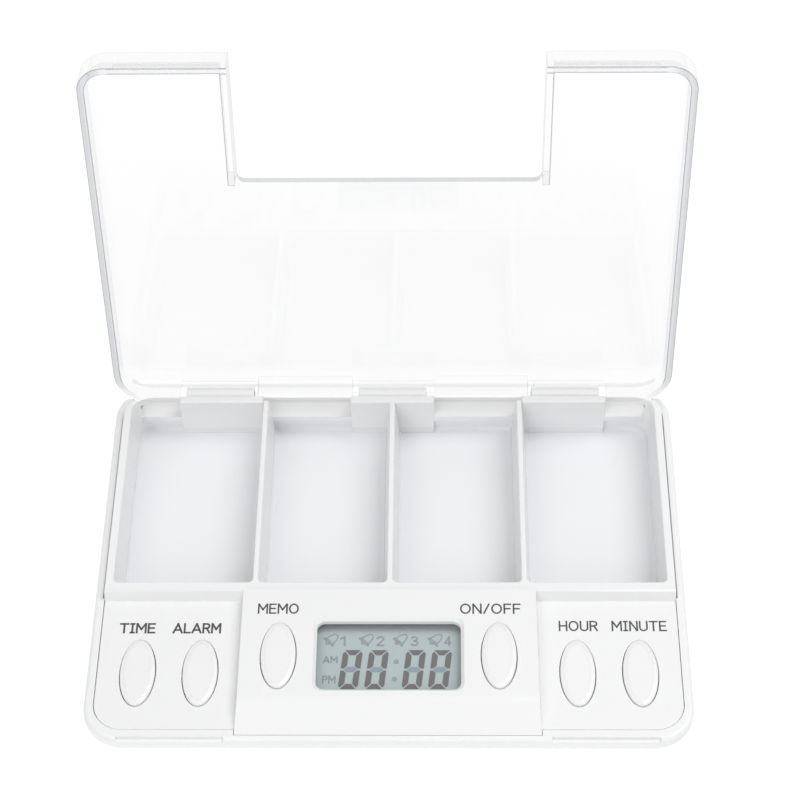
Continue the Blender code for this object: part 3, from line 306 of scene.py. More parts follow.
@dataclass(frozen=True)
class Finish:
    """One finish by name; each kind paints its material in its own way."""

    name: str

    @cache
    def make(self) -> bpy.types.Material:
        """Build the material the first time, and give the same one from then on.

        Returns:
            The material.
        """
        recipe = Recipe(self.name)
        self.paint(recipe)
        return recipe.material

    def dress(self, item: bpy.types.Object) -> None:
        """Make this the only finish of an object."""
        item.data.materials.clear()
        item.data.materials.append(self.make())


@dataclass(frozen=True)
class MouldedPlastic(Finish):
    """Opaque moulded plastic with a very fine spark texture and slow tone changes.

    Below a given height, as on the compartments' floors, it is smoother and carries a painted cool shade.
    """

    colour: Point
    shade: Point
    roughness: float
    grain: float = 0.00002
    low: Optional[Point] = None
    low_height: float = 0.0075
    low_soft: float = 0.0015
    low_polish: float = 0.16

    def paint(self, recipe: Recipe) -> None:
        """Paint the plastic.

        Args:
            recipe: the material under construction.
        """
        drift = recipe.noise(38.0, 3.0).between(0.35, 0.7)
        fine = recipe.noise(5200.0)
        colour = recipe.blend(drift, self.shade, self.colour)
        rough = fine * 0.08 + (self.roughness - 0.04)
        # Below low_height the colour turns to a painted cool shade for the shade in the compartments, and
        # the surface turns smoother.
        if self.low:
            floor = 1.0 - recipe.axis("Z").between(self.low_height - self.low_soft, self.low_height)
            colour = recipe.blend(floor, colour, self.low)
            rough = rough - floor * self.low_polish
        recipe.set(Base_Color=colour, Roughness=rough, IOR=1.5)
        recipe.bump(fine, 0.35, self.grain)


@dataclass(frozen=True)
class ClearPlastic(Finish):
    """Polished clear styrene: nearly unseen straight on, glossy at a glancing view."""

    haze: Point
    cover: float
    waves: float = 0.00002

    def paint(self, recipe: Recipe) -> None:
        """Paint the plastic.

        Args:
            recipe: the material under construction.
        """
        flow = recipe.noise(26.0, 1.5, (1.0, 1.0, 0.5))
        recipe.set(
            Base_Color=recipe.blend(flow, self.haze, dim(self.haze, 0.94)),
            Roughness=recipe.noise(900.0) * 0.02 + 0.03,
            Alpha=self.depth(recipe) + flow * 0.008,
            IOR=1.45,
        )
        recipe.bump(flow, 0.3, self.waves)
        recipe.polish(0.04, 0.02)

    def depth(self, recipe: Recipe) -> "Wave | float":
        """How much of the haze shows."""
        return self.cover


@dataclass(frozen=True)
class LidPlastic(ClearPlastic):
    """Clear plastic of the lid, with painted grey shade on its rim, its rounded edges and its cut edges,
    standing in for the light that bends and reflects there, over a lighter haze on its plate.

    Lengths are in metres. Each pair is where a tone starts and where it is full.
    """

    soft: float = 0.0002
    plate_under: float = 0.0184
    rim_top: float = 0.0143
    notch_side: float = 0.0294
    square_on: Pair = (0.85, 0.97)
    edge_on: Pair = (0.3, 0.7)
    side: Pair = (0.0515, 0.055)
    inner_side: Pair = (0.054, 0.055)
    outer_side: Pair = (0.0565, 0.057)
    front_wall: Pair = (0.091, 0.092)
    rails: tuple[Pair, Pair] = ((-0.0418, -0.0412), (-0.0406, -0.04))
    rail_end: Pair = (0.051, 0.052)
    round_start: Pair = (0.2, 0.3)
    round_end: Pair = (0.94, 0.995)
    round_foot: Pair = (0.016, 0.018)
    plate_fade: Pair = (0.03, 0.09)
    hinge_fade: Pair = (0.0145, 0.0165)
    hinge_share: float = 0.45
    band: float = 0.4
    edge: float = 0.4
    wall: float = 0.015
    outer: float = 0.08
    cheek: float = 0.45
    rail: float = 0.5
    fade: float = 0.02

    def depth(self, recipe: Recipe) -> Wave:
        """How much of the haze and of the painted edge shade shows at each place of the lid.

        Args:
            recipe: the material under construction.

        Returns:
            The share.
        """
        turn = math.radians(OPEN_ANGLE)
        up, over = math.sin(turn), math.cos(turn)
        far = recipe.axis("Z")
        behind, risen = recipe.axis("Y") - HINGE_Y * MM, far - HINGE_Z * MM
        height = behind * up + risen * over + HINGE_Z * MM
        reach = behind * over - risen * up + HINGE_Y * MM
        aside = abs(recipe.axis("X"))
        facing = recipe.along((0.0, up, over))
        # The rim band, the rails, the rounds, the cut edges, the outer walls and the notch's cheeks are
        # painted grey shade for light bending and reflecting at the plastic's edges.
        low = 1.0 - height.between(self.plate_under - self.soft, self.plate_under)
        rim = 1.0 - height.between(self.rim_top - self.soft, self.rim_top)
        flat = facing.between(*self.square_on)
        cut = 1.0 - facing.between(*self.edge_on)
        band = flat * rim * aside.between(*self.side) * self.band
        rounds = facing.between(*self.round_start) * (1.0 - facing.between(*self.round_end))
        rounds = rounds * rim * far.between(*self.round_foot)
        within = (1.0 - aside.between(*self.inner_side)) * (1.0 - far.between(*self.front_wall))
        near, beyond = (reach.inside(*rail, self.soft / 2) for rail in self.rails)
        rails = (near + beyond) * flat * rim * (1.0 - aside.between(*self.rail_end)) * self.rail
        outer = cut * low * aside.between(*self.outer_side) * self.outer
        notch = aside.inside(self.notch_side - self.soft / 2, self.notch_side + self.soft / 2, self.soft / 4)
        plate = (1.0 - far.between(*self.plate_fade)) * self.fade + self.cover
        cuts = cut * (1.0 - low) * within * self.edge + cut * low * self.wall
        hinged = far.between(*self.hinge_fade) * (1.0 - self.hinge_share) + self.hinge_share
        return (band + rails + rounds + cuts + outer + notch * cut * self.cheek + plate) * hinged


@dataclass(frozen=True)
class DisplayBack(Finish):
    """Grey-green liquid crystal ground, darker along its top edge where the frame shades it."""

    colour: Point
    shade: Point
    top: float
    reach: float

    def paint(self, recipe: Recipe) -> None:
        """Paint the ground.

        Args:
            recipe: the material under construction.
        """
        dusk = recipe.axis("Y").between(self.top - self.reach, self.top)
        tone = recipe.blend(dusk * dusk, self.colour, self.shade)
        recipe.set(Base_Color=tone, Roughness=recipe.noise(9000.0, 1.0) * 0.1 + 0.3)


@dataclass(frozen=True)
class Ink(Finish):
    """Printed or liquid crystal ink with slightly uneven cover."""

    colour: Point
    ground: Point
    roughness: float = 0.6

    def paint(self, recipe: Recipe) -> None:
        """Paint the ink.

        Args:
            recipe: the material under construction.
        """
        cover = recipe.noise(4200.0, 3.0).between(0.62, 0.8)
        tone = recipe.blend(cover * 0.5, self.colour, self.ground)
        recipe.set(Base_Color=tone, Roughness=cover * 0.2 + self.roughness)


@dataclass(frozen=True)
class Metal(Finish):
    """Plated steel with turning marks."""

    colour: Point
    roughness: float

    def paint(self, recipe: Recipe) -> None:
        """Paint the steel.

        Args:
            recipe: the material under construction.
        """
        marks = recipe.noise(1600.0, 2.0, (1.0, 0.2, 1.0))
        tone = recipe.blend(marks, dim(self.colour, 0.85), self.colour)
        recipe.set(Base_Color=tone, Metallic=1.0, Roughness=marks * 0.2 + self.roughness)
        recipe.bump(marks, 0.3, 0.00001)


@dataclass(frozen=True)
class Board(Finish):
    """Green circuit board with faint copper tracks under the mask."""

    colour: Point
    track: Point

    def paint(self, recipe: Recipe) -> None:
        """Paint the board.

        Args:
            recipe: the material under construction.
        """
        black, white = (0.0, 0.0, 0.0, 1.0), (1.0, 1.0, 1.0, 1.0)
        brick = recipe.node(
            "ShaderNodeTexBrick", Vector=recipe.place, Scale=220.0, Mortar_Size=0.03,
            Color1=black, Color2=black, Mortar=white,
        )
        lines = recipe.wave(brick, "Fac")
        tone = recipe.blend(lines * 0.6, self.colour, self.track)
        recipe.set(Base_Color=tone, Roughness=recipe.noise(1500.0) * 0.2 + 0.35)
        recipe.bump(lines, 0.2, 0.00003)


@dataclass(frozen=True)
class Studio(Finish):
    """Plain white sweep, lit so evenly that it is nearly shadowless."""

    colour: Point
    glow: float

    def paint(self, recipe: Recipe) -> None:
        """Paint the sweep.

        Args:
            recipe: the material under construction.
        """
        tone = recipe.blend(recipe.noise(90.0), dim(self.colour, 0.995), self.colour)
        recipe.set(Base_Color=tone, Roughness=0.9)
        recipe.set(Emission_Color=(1.0, 1.0, 1.0, 1.0), Emission_Strength=self.glow)


SHELL = MouldedPlastic("shell_white", (0.865, 0.868, 0.872), (0.855, 0.858, 0.862), 0.34)
# The housing's low tone is a painted cool shade on the compartments' floors.
HOUSING = MouldedPlastic(
    "housing_white", (0.865, 0.867, 0.868), (0.855, 0.857, 0.858), 0.3, low=(0.845, 0.855, 0.872)
)
KEY = MouldedPlastic("key_white", (0.862, 0.863, 0.864), (0.852, 0.853, 0.854), 0.36)
CLEAR = LidPlastic("lid_clear", (0.42, 0.43, 0.47), 0.03)
LENS = ClearPlastic("lens_clear", (0.8, 0.82, 0.82), 0.02, 0.000005)
GROUND = DisplayBack("display_ground", (0.49, 0.575, 0.575), (0.41, 0.44, 0.44), -0.0171, 0.0026)
SEGMENT = Ink("segment_dark", (0.135, 0.13, 0.132), (0.16, 0.16, 0.16), 0.4)
UNLIT = Ink("segment_unlit", (0.28, 0.35, 0.40), (0.31, 0.39, 0.42), 0.4)
IDLE = Ink("mark_idle", (0.32, 0.36, 0.37), (0.40, 0.46, 0.46), 0.4)
LABEL = Ink("label_grey", (0.085, 0.085, 0.09), (0.14, 0.14, 0.145))
STEEL = Metal("steel_plated", (0.62, 0.62, 0.63), 0.22)
BOARD = Board("board_green", (0.02, 0.16, 0.07), (0.06, 0.30, 0.14))
BLACK = MouldedPlastic("black_moulded", (0.025, 0.025, 0.027), (0.018, 0.018, 0.02), 0.5)
RUBBER = MouldedPlastic("rubber_grey", (0.24, 0.24, 0.25), (0.2, 0.2, 0.21), 0.75)
SWEEP = Studio("studio_white", (0.06, 0.06, 0.06), 0.98)


def level(height: float, also: Check = lambda end: True) -> Test:
    """A test for edges that lie at one height and whose ends pass a further check."""
    return lambda a, b: all(abs(end.z - height) < 1e-2 and also(end) for end in (a, b))


def upright(also: Check = lambda end: True) -> Test:
    """A test for edges that run straight up where a further check holds."""
    return lambda a, b: (a - b).xy.length < 1e-3 and abs(a.z - b.z) > 1e-3 and also(a)


def top_face(middle: Vector, normal: Vector) -> bool:
    """Whether a face looks up."""
    return normal.z > 0.9


def foot_face(middle: Vector, normal: Vector) -> bool:
    """Whether a face looks down."""
    return normal.z < -0.9


def deselect() -> None:
    """Leave edit mode and deselect everything."""
    if bpy.context.object and bpy.context.object.mode != "OBJECT":
        bpy.ops.object.mode_set(mode="OBJECT")
    bpy.ops.object.select_all(action="DESELECT")


def extrude(height: float, grow: Optional[Point] = None, middle: Point = (0.0, 0.0, 0.0)) -> None:
    """Extrude the selected faces along Z and resize their new end.

    Args:
        height: how far, in millimetres.
        grow: by how much the end grows in X, Y and Z.
        middle: the point that it grows about, in metres.
    """
    bpy.ops.mesh.extrude_region_move(TRANSFORM_OT_translate={"value": (0.0, 0.0, height * MM)})
    if grow:
        bpy.ops.transform.resize(value=grow, center_override=middle)


class Solid:
    """One mesh on the bench, shaped in millimetres by the steps that are done by hand."""

    def __init__(self, item: bpy.types.Object) -> None:
        """Take an object, and put its place, turn and scale into its mesh.

        Args:
            item: the object.
        """
        self.item = item
        self.pick()
        bpy.ops.object.transform_apply(location=True, rotation=True, scale=True)

    @classmethod
    def block(cls, low: Point, high: Point) -> "Solid":
        """Box between two corners.

        Args:
            low: its lowest corner.
            high: its highest corner.

        Returns:
            The box.
        """
        deselect()
        middle = [(a + b) / 2 * MM for a, b in zip(low, high)]
        size = [(b - a) * MM for a, b in zip(low, high)]
        bpy.ops.mesh.primitive_cube_add(size=1, location=middle, scale=size)
        return cls(bpy.context.object)

    @classmethod
    def pair(cls, low: Point, high: Point) -> list["Solid"]:
        """A box's mirror image in X, and the box."""
        return [cls.block((-high[0], *low[1:]), (-low[0], *high[1:])), cls.block(low, high)]

    @classmethod
    def drum(cls, middle: Point, radii: Pair, height: float, sides: int, along: str = "Z") -> "Solid":
        """Round or oval drum.

        Args:
            middle: its middle.
            radii: its two radii across its axis.
            height: its length along its axis.
            sides: how many sides it has.
            along: its axis, X or Z.

        Returns:
            The drum.
        """
        deselect()
        bpy.ops.mesh.primitive_cylinder_add(
            vertices=sides, radius=MM, depth=height * MM, location=[value * MM for value in middle],
            rotation=(0.0, math.pi / 2 if along == "X" else 0.0, 0.0),
        )
        bpy.context.object.scale = (*radii, 1.0)
        return cls(bpy.context.object)

    @classmethod
    def well(cls, x: float, y: float, radius: float, top: float, sides: int) -> "Solid":
        """Round tool for a hole from below, up to a height."""
        return cls.drum((x, y, top - 6.0), (radius, radius), 12.0, sides)

    @classmethod
    def plate(cls, outline: Sequence[Pair], foot: float, thick: float) -> "Solid":
        """Flat plate.

        Args:
            outline: its corners, in order.
            foot: the height of its underside.
            thick: its thickness.

        Returns:
            The plate.
        """
        deselect()
        bpy.ops.mesh.primitive_circle_add(vertices=len(outline), radius=MM, fill_type="NGON")
        made = cls(bpy.context.object)
        for vertex, (x, y) in zip(made.item.data.vertices, outline):
            vertex.co = (x * MM, y * MM, foot * MM)
        made.edit()
        extrude(thick)
        bpy.ops.mesh.select_all(action="SELECT")
        bpy.ops.mesh.normals_make_consistent(inside=False)
        bpy.ops.object.mode_set(mode="OBJECT")
        return made

    def pick(self) -> None:
        """Make this the only selected and active object."""
        deselect()
        self.item.select_set(True)
        bpy.context.view_layer.objects.active = self.item

    def edit(self) -> None:
        """Go into edit mode with everything selected."""
        self.pick()
        bpy.ops.object.mode_set(mode="EDIT")
        bpy.ops.mesh.select_all(action="SELECT")

    def select(self, test: Test, faces: bool = False) -> int:
        """Select edges by their two ends, or faces by their middle and normal, and stay in edit mode.

        Args:
            test: takes the two ends, or the middle and the normal.
            faces: whether faces are tested.

        Returns:
            How many were selected.
        """
        self.pick()
        bpy.ops.object.mode_set(mode="EDIT")
        bpy.ops.mesh.select_mode(type="FACE" if faces else "EDGE")
        bpy.ops.mesh.select_all(action="DESELECT")
        form = bmesh.from_edit_mesh(self.item.data)
        if faces:
            chosen = [face for face in form.faces if test(face.calc_center_median() / MM, face.normal)]
        else:
            chosen = [edge for edge in form.edges if test(*(vertex.co / MM for vertex in edge.verts))]
        for element in chosen:
            element.select_set(True)
        bmesh.update_edit_mesh(self.item.data)
        return len(chosen)

    def round(self, test: Test, radius: float, steps: int) -> None:
        """Round edges.

        Args:
            test: takes an edge's two ends.
            radius: the round's radius.
            steps: how many faces it has.
        """
        if self.select(test):
            bpy.ops.mesh.bevel(offset=radius * MM, segments=steps, affect="EDGES", clamp_overlap=False)
        else:
            LOG.warning("%s: no edge to round at %.2f mm", self.item.name, radius)
        bpy.ops.object.mode_set(mode="OBJECT")

    def shift(self, test: Test, step: Point) -> None:
        """Move edges.

        Args:
            test: takes an edge's two ends.
            step: how far they move.
        """
        self.select(test)
        bpy.ops.transform.translate(value=[value * MM for value in step])
        bpy.ops.object.mode_set(mode="OBJECT")

    def scale(self, test: Test, grow: Point, middle: Point = (0.0, 0.0, 0.0), faces: bool = True) -> None:
        """Resize faces or edges.

        Args:
            test: takes a face's middle and normal, or an edge's two ends.
            grow: by how much they grow in X, Y and Z.
            middle: the point that they grow about, in metres.
            faces: whether faces are resized.
        """
        self.select(test, faces)
        bpy.ops.transform.resize(value=grow, center_override=middle)
        bpy.ops.object.mode_set(mode="OBJECT")

    def score(self, place: Point, across: Point) -> None:
        """Cut a line of edges round the piece where a plane meets it.

        Args:
            place: a point of the plane.
            across: the plane's normal.
        """
        self.edit()
        bpy.ops.mesh.bisect(plane_co=[value * MM for value in place], plane_no=across)
        bpy.ops.object.mode_set(mode="OBJECT")

    def flare(self, middle: Point, width: float, depth: float, radius: float) -> None:
        """Widen a cutter's mouth in a quarter round, so that the edge that it leaves is soft.

        Args:
            middle: its middle, in metres.
            width: its size in X.
            depth: its size in Y.
            radius: the round's radius.
        """
        self.select(top_face, faces=True)
        rise = grown = 0.0
        for step in range(1, 5):
            angle = math.pi / 2 * step / 4
            new_rise, new_grown = radius * math.sin(angle), radius * (1 - math.cos(angle))
            wide = (width + 2 * new_grown) / (width + 2 * grown)
            deep = (depth + 2 * new_grown) / (depth + 2 * grown)
            extrude(new_rise - rise, (wide, deep, 1.0), middle)
            rise, grown = new_rise, new_grown
        extrude(3)
        bpy.ops.object.mode_set(mode="OBJECT")

    def combine(self, how: str, tools: Sequence["Solid"]) -> None:
        """Apply Boolean modifiers with tools, one after another, which are used up.

        Args:
            how: DIFFERENCE or UNION.
            tools: what cuts or joins the piece.
        """
        for tool in tools:
            self.pick()
            modifier = self.item.modifiers.new("shape", "BOOLEAN")
            modifier.operation = how
            modifier.solver = "EXACT"
            modifier.object = tool.item
            bpy.ops.object.modifier_apply(modifier=modifier.name)
            bpy.data.objects.remove(tool.item, do_unlink=True)

    def cut(self, *tools: "Solid") -> None:
        """Cut tools out of the piece."""
        self.combine("DIFFERENCE", tools)

    def add(self, *tools: "Solid") -> None:
        """Join tools to the piece."""
        self.combine("UNION", tools)

    def weld(self, dissolve: bool = False) -> None:
        """Merge doubled points and point the faces out.

        Args:
            dissolve: whether needless edges are dropped too.
        """
        self.edit()
        bpy.ops.mesh.remove_doubles(threshold=0.002 * MM)
        if dissolve:
            bpy.ops.mesh.select_all(action="SELECT")
            bpy.ops.mesh.dissolve_limited(angle_limit=math.radians(0.5))
        bpy.ops.mesh.select_all(action="SELECT")
        bpy.ops.mesh.normals_make_consistent(inside=False)
        bpy.ops.object.mode_set(mode="OBJECT")

    def finish(self, name: str, finish: Finish, soft_angle: float = 32.0) -> bpy.types.Object:
        """Shade the piece, name it and give it its finish.

        Args:
            name: the piece's name.
            finish: its finish.
            soft_angle: faces that meet at less than this angle, in degrees, shade softly.

        Returns:
            Its object.
        """
        self.pick()
        bpy.ops.object.shade_smooth_by_angle(angle=math.radians(soft_angle))
        weighted = self.item.modifiers.new("weights", "WEIGHTED_NORMAL")
        weighted.keep_sharp = True
        bpy.ops.object.modifier_apply(modifier=weighted.name)
        self.item.name = name
        finish.dress(self.item)
        return self.item


@dataclass
class BaseShell:
    """Lower housing: rounded rim, raked front, flat underside with its openings, and what stands inside.

    Each level is how far it lies under the band, and how far the front and the sides lean in there.
    """

    width: float = 114.0
    depth: float = 84.6
    band: float = 1.0
    corner: float = 7.5
    walls: Point = (1.8, 2.3, 1.4)
    floor: float = 1.6
    rim_round: float = 0.9
    step_drop: float = 3.2
    step_depth: float = 3.0
    notch_half: float = 28.6
    notch_drop: float = 1.36
    catch_drop: float = 0.7
    groove_half: float = 55.53
    groove_drop: float = 1.2
    groove_corner: float = 6.2
    cell_y: float = -21.3
    ear_x: float = 13.6
    screw_x: float = 28.2
    screw_y: float = -30.9
    sound: Pair = (-40.0, -23.4)
    sound_ring: float = 3.0
    rear_share: float = 0.83
    levels: tuple[Point, ...] = (
        (1.24, 0.05, 0.01), (2.2, 0.45, 0.05), (3.35, 0.95, 0.12), (5.2, 2.09, 0.3),
        (6.95, 3.28, 0.57), (8.7, 4.42, 0.93), (10.3, 5.6, 1.41), (11.5, 7.03, 2.04), (12.4, 9.5, 3.0),
    )
    shell: Solid = field(init=False)

    def build(self) -> None:
        """Model the shell and put it in place of the plain one."""
        self.shell = self.form((0.0, 0.0, 0.0), 0.0, RIM)
        self.shell.round(level(RIM), self.rim_round, 6)
        self.shell.cut(self.form(self.walls, self.floor, RIM + 4.0))
        self.stand_bosses()
        self.cut_rim()
        self.cut_underside()
        self.shell.weld()
        piece = self.shell.finish("shell", SHELL)
        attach(piece, Rider.HOUSING.value)
        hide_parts("base_shell")

    def form(self, walls: Point, foot: float, top: float) -> Solid:
        """Rounded block that is extruded down in steps which follow the rake.

        Args:
            walls: how far it is brought in at the sides, the front and the back.
            foot: the height of its underside.
            top: the height of its top.

        Returns:
            The block.
        """
        band = RIM - self.band
        half, near, far = self.width / 2 - walls[0], walls[1] - self.depth / 2, self.depth / 2 - walls[2]
        block = Solid.block((-half, near, band), (half, far, top))
        block.round(upright(), self.corner - walls[0], 14)
        lean = rake = depth = 0.0
        for drop, new_rake, new_lean in self.levels:
            rear, new_rear = far - lean * self.rear_share, far - new_lean * self.rear_share
            wide = (half - new_lean) / (half - lean)
            deep = (new_rear - near - new_rake) / (rear - near - rake)
            block.select(foot_face, faces=True)
            extrude(-(drop - depth) * (band - foot) / band, (wide, deep, 1.0), (0.0, rear * MM, 0.0))
            bpy.ops.transform.translate(value=(0.0, (new_rear - rear) * MM, 0.0))
            bpy.ops.object.mode_set(mode="OBJECT")
            rake, lean, depth = new_rake, new_lean, drop
        return block

    def stand_bosses(self) -> None:
        """Stand the screw bosses, the cell's ring and the ear's boss on the floor."""
        foot = self.floor - 0.5
        for x, y, radius, top in (
            (-self.screw_x, self.screw_y, 3.4, 4.0), (self.screw_x, self.screw_y, 3.4, 4.0),
            (0.0, self.cell_y, 12.6, 3.8), (self.ear_x, self.cell_y, 3.4, 3.75),
        ):
            self.shell.add(Solid.drum((x, y, (foot + top) / 2), (radius, radius), top - foot, 64))

    def cut_rim(self) -> None:
        """Cut the back step, the console's notch, the rebates, the hooks' slots and the seam's groove."""
        reach, half = self.depth / 2, self.notch_half
        groove = Solid.block(
            (-self.groove_half, -10.6, RIM - self.groove_drop), (self.groove_half, HINGE_Y, ABOVE)
        )
        groove.round(upright(lambda end: end.y > 0), self.groove_corner, 14)
        self.shell.cut(
            Solid.block((-FAR, reach - self.step_depth, RIM - self.step_drop), (FAR, FAR, ABOVE)),
            Solid.block((-half, 1.1 - reach, RIM - self.notch_drop), (half, 4.5 - reach, ABOVE)),
            *Solid.pair((30.4, -OUT, RIM - self.catch_drop), (50.4, 0.85 - reach, ABOVE)),
            *Solid.pair((32.7, 39.6, 6.1), (39.3, reach - 0.5, 8.2)),
            groove,
        )

    def cut_underside(self) -> None:
        """Cut the cell door's seat, the cell's well, the screw wells and the sound holes."""
        y, ear = self.cell_y, self.ear_x
        self.shell.cut(
            Solid.well(0.0, y, 11.2, 1.6, 64), Solid.well(ear, y, 3.7, 1.62, 64),
            Solid.well(0.0, y, 10.3, 9.0, 64), Solid.well(ear, y, 1.3, 9.0, 64),
            Solid.block((0.0, y - 3.7, -2.0), (ear, y + 3.7, 1.61)),
            Solid.block((-12.7, y - 2.8, 1.3), (-9.9, y + 2.8, 3.0)),
            Solid.block((9.9, y - 2.8, 1.5), (11.0, y + 2.8, 9.0)),
        )
        for x in (-self.screw_x, self.screw_x):
            for radius, top in ((2.2, 2.3), (1.3, 9.0)):
                self.shell.cut(Solid.well(x, self.screw_y, radius, top, 32))
        for place in range(6):
            angle = math.pi * place / 3
            x = self.sound[0] + self.sound_ring * math.cos(angle)
            y = self.sound[1] + self.sound_ring * math.sin(angle)
            self.shell.cut(Solid.drum((x, y, 0.0), (0.6, 0.6), 8.0, 20))


@dataclass
class KeySpec:
    """Where one key sits and which body and node it belongs to."""

    node: str
    rider: Rider
    x: float
    y: float
    top: float


KEYS = (
    KeySpec("key_time", Rider.TIME, -47.4, -27.6, RIM),
    KeySpec("key_alarm", Rider.ALARM, -35.6, -27.6, RIM),
    KeySpec("key_memo", Rider.MEMO, -20.8, -25.3, CONSOLE_TOP),
    KeySpec("key_on_off", Rider.ON_OFF, 20.8, -25.3, CONSOLE_TOP),
    KeySpec("key_hour", Rider.HOUR, 35.6, -27.6, RIM),
    KeySpec("key_minute", Rider.MINUTE, 47.4, -27.6, RIM),
)


@dataclass
class TopHousing:
    """Tray, crossbar, key panels, console, hinge blocks and knuckles, in one moulding."""

    half: float = 55.1
    back: float = 39.5
    frame_top: float = 15.4
    seam_corner: float = 5.6
    slope_foot: float = -11.2
    slope_top: float = -10.1
    pocket_front: float = -8.1
    pocket_back: float = 38.1
    pocket_half: float = 53.5
    pocket_floor: float = 5.4
    pocket_draft: float = 0.9
    floor_under: float = 4.2
    foot_half: float = 53.8
    waist: float = 11.9
    waist_out: float = 0.4
    divider: float = 1.1
    pitch: float = 26.0
    edge_round: float = 0.3
    mouth_round: float = 0.2
    band: float = 2.8
    band_drop: float = 0.1
    console_half: float = 28.5
    console_top_half: float = 28.1
    ramp: float = 4.8
    ramp_low: float = 1.2
    key_hole: Pair = (3.45, 7.4)
    window_y: float = -24.85
    window_half: float = 13.65
    window_deep: float = 7.6
    chamfer: float = 0.6
    lip_half: float = 52.3
    lip_front: float = 2.7
    lip_back: float = 1.25
    knuckle: float = 1.6
    knuckle_length: float = 14.0
    housing: Solid = field(init=False)

    def build(self) -> None:
        """Model the housing and put it in place of the plain one."""
        self.lay_deck()
        self.add_tray()
        self.add_console()
        self.housing.weld(dissolve=True)
        self.soften()
        self.hollow()
        self.cut_pockets()
        self.close_back()
        self.add_hinges()
        self.cut_keys()
        self.cut_window()
        self.housing.weld()
        piece = self.housing.finish("housing", HOUSING)
        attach(piece, Rider.HOUSING.value)
        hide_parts("top_housing")

    def lay_deck(self) -> None:
        """Lay the flat key panel with the seam's rounded front corners."""
        deck = self.housing = Solid.block(
            (-self.half, PANEL_FRONT, RIM - 1.5), (self.half, self.pocket_front, RIM)
        )
        deck.round(upright(lambda end: end.y < PANEL_FRONT + 1), self.seam_corner, 14)
        rear = self.pocket_front - 1
        deck.round(lambda a, b: level(RIM)(a, b) and not (a.y > rear and b.y > rear), 0.25, 3)
        foot = self.slope_foot - 0.05
        for y in (foot, foot - self.band):
            deck.score((0.0, y, 0.0), (0.0, 1.0, 0.0))
        deck.shift(
            lambda a, b: all(abs(end.y - foot) < 0.02 and end.z > RIM - 0.3 for end in (a, b)),
            (0.0, 0.0, -self.band_drop),
        )

    def add_tray(self) -> None:
        """Add the raised compartment block with the crossbar's sloped front."""
        tray = Solid.block(
            (-self.half, self.slope_foot, self.floor_under), (self.half, self.back, self.frame_top)
        )
        tray.round(upright(lambda end: end.y > 0), self.seam_corner, 14)
        tray.scale(foot_face, (self.foot_half / self.half, 1.0, 1.0))
        tray.score((0.0, 0.0, self.waist), (0.0, 0.0, 1.0))
        tray.scale(level(self.waist), (1.0 + self.waist_out / self.half, 1.0, 1.0), faces=False)
        tray.score((0.0, 0.0, RIM), (0.0, 0.0, 1.0))
        front = self.slope_foot + 0.1
        tray.shift(
            level(self.frame_top, lambda end: end.y < front), (0.0, self.slope_top - self.slope_foot, 0.0)
        )
        tray.cut(Solid.block((-FAR, -20.0, 0.0), (FAR, -9.35, 11.8)))
        self.housing.add(tray)

    def add_console(self) -> None:
        """Add the raised console with its front ramp and side draft."""
        half, low = self.console_half, PANEL_FRONT - self.ramp_low
        console = Solid.block((-half, low, RIM - 1.3), (half, self.slope_top, CONSOLE_TOP))
        console.score((0.0, 0.0, RIM), (0.0, 0.0, 1.0))
        console.scale(top_face, (self.console_top_half / half, 1.0, 1.0))
        console.shift(
            level(CONSOLE_TOP, lambda end: end.y < PANEL_FRONT), (0.0, self.ramp + self.ramp_low, 0.0)
        )
        self.housing.add(console)

    def soften(self) -> None:
        """Round the top of the console's ramp and soften the tray's outer edges."""
        ramp = PANEL_FRONT + self.ramp
        self.housing.round(level(CONSOLE_TOP, lambda end: abs(end.y - ramp) < 0.05), 1.1, 6)
        rear = self.back - 0.1
        outside = level(
            self.frame_top,
            lambda end: abs(end.x) > 49.4 or end.y > rear or (end.y < -9 and abs(end.x) > 27),
        )
        self.housing.round(outside, 0.3, 3)

    def hollow(self) -> None:
        """Cut the room under the console, and stand the screw posts under the deck."""
        self.housing.cut(Solid.block(
            (-26.6, PANEL_FRONT + 4.4, RIM - 3.0), (26.6, self.slope_foot - 0.8, CONSOLE_TOP - 1.5)
        ))
        deck = RIM - 0.75
        for x, y, foot, radius in (
            (28.2, -30.9, 4.3, 2.7), (41.5, -14.3, 8.2, 2.2), (41.5, -33.7, 8.2, 2.2),
        ):
            for place in (-x, x):
                self.housing.add(
                    Solid.drum((place, y, (foot + deck) / 2), (radius, radius), deck - foot, 32)
                )
                self.housing.cut(Solid.drum((place, y, foot), (1.05, 1.05), 9.6, 24))

    def cut_pockets(self) -> None:
        """Cut the four compartments with drafted walls and rounded feet."""
        walls = (-self.pitch, 0.0, self.pitch)
        lefts = (-self.pocket_half,) + tuple(wall + self.divider / 2 for wall in walls)
        rights = tuple(wall - self.divider / 2 for wall in walls) + (self.pocket_half,)
        depth = self.pocket_back - self.pocket_front
        for left, right, outer in zip(lefts, rights, (lefts[0], None, None, rights[-1])):
            pocket = Solid.block(
                (left, self.pocket_front, self.pocket_floor),
                (right, self.pocket_back, self.frame_top - self.edge_round),
            )
            if outer is not None:
                pocket.round(upright(lambda end: end.y > 0 and abs(end.x - outer) < 0.1), 3.6, 10)
            pocket.round(upright(lambda end: outer is None or end.y < 0 or abs(end.x - outer) > 10), 1.0, 5)
            middle = ((left + right) / 2 * MM, (self.pocket_front + self.pocket_back) / 2 * MM, 0.0)
            wide, deep = 1 - 2 * self.pocket_draft / (right - left), 1 - self.pocket_draft / depth
            pocket.scale(foot_face, (wide, deep, 1.0), middle)
            pocket.round(level(self.pocket_floor), 0.8, 6)
            pocket.flare(middle, right - left, depth, self.edge_round)
            self.housing.cut(pocket)

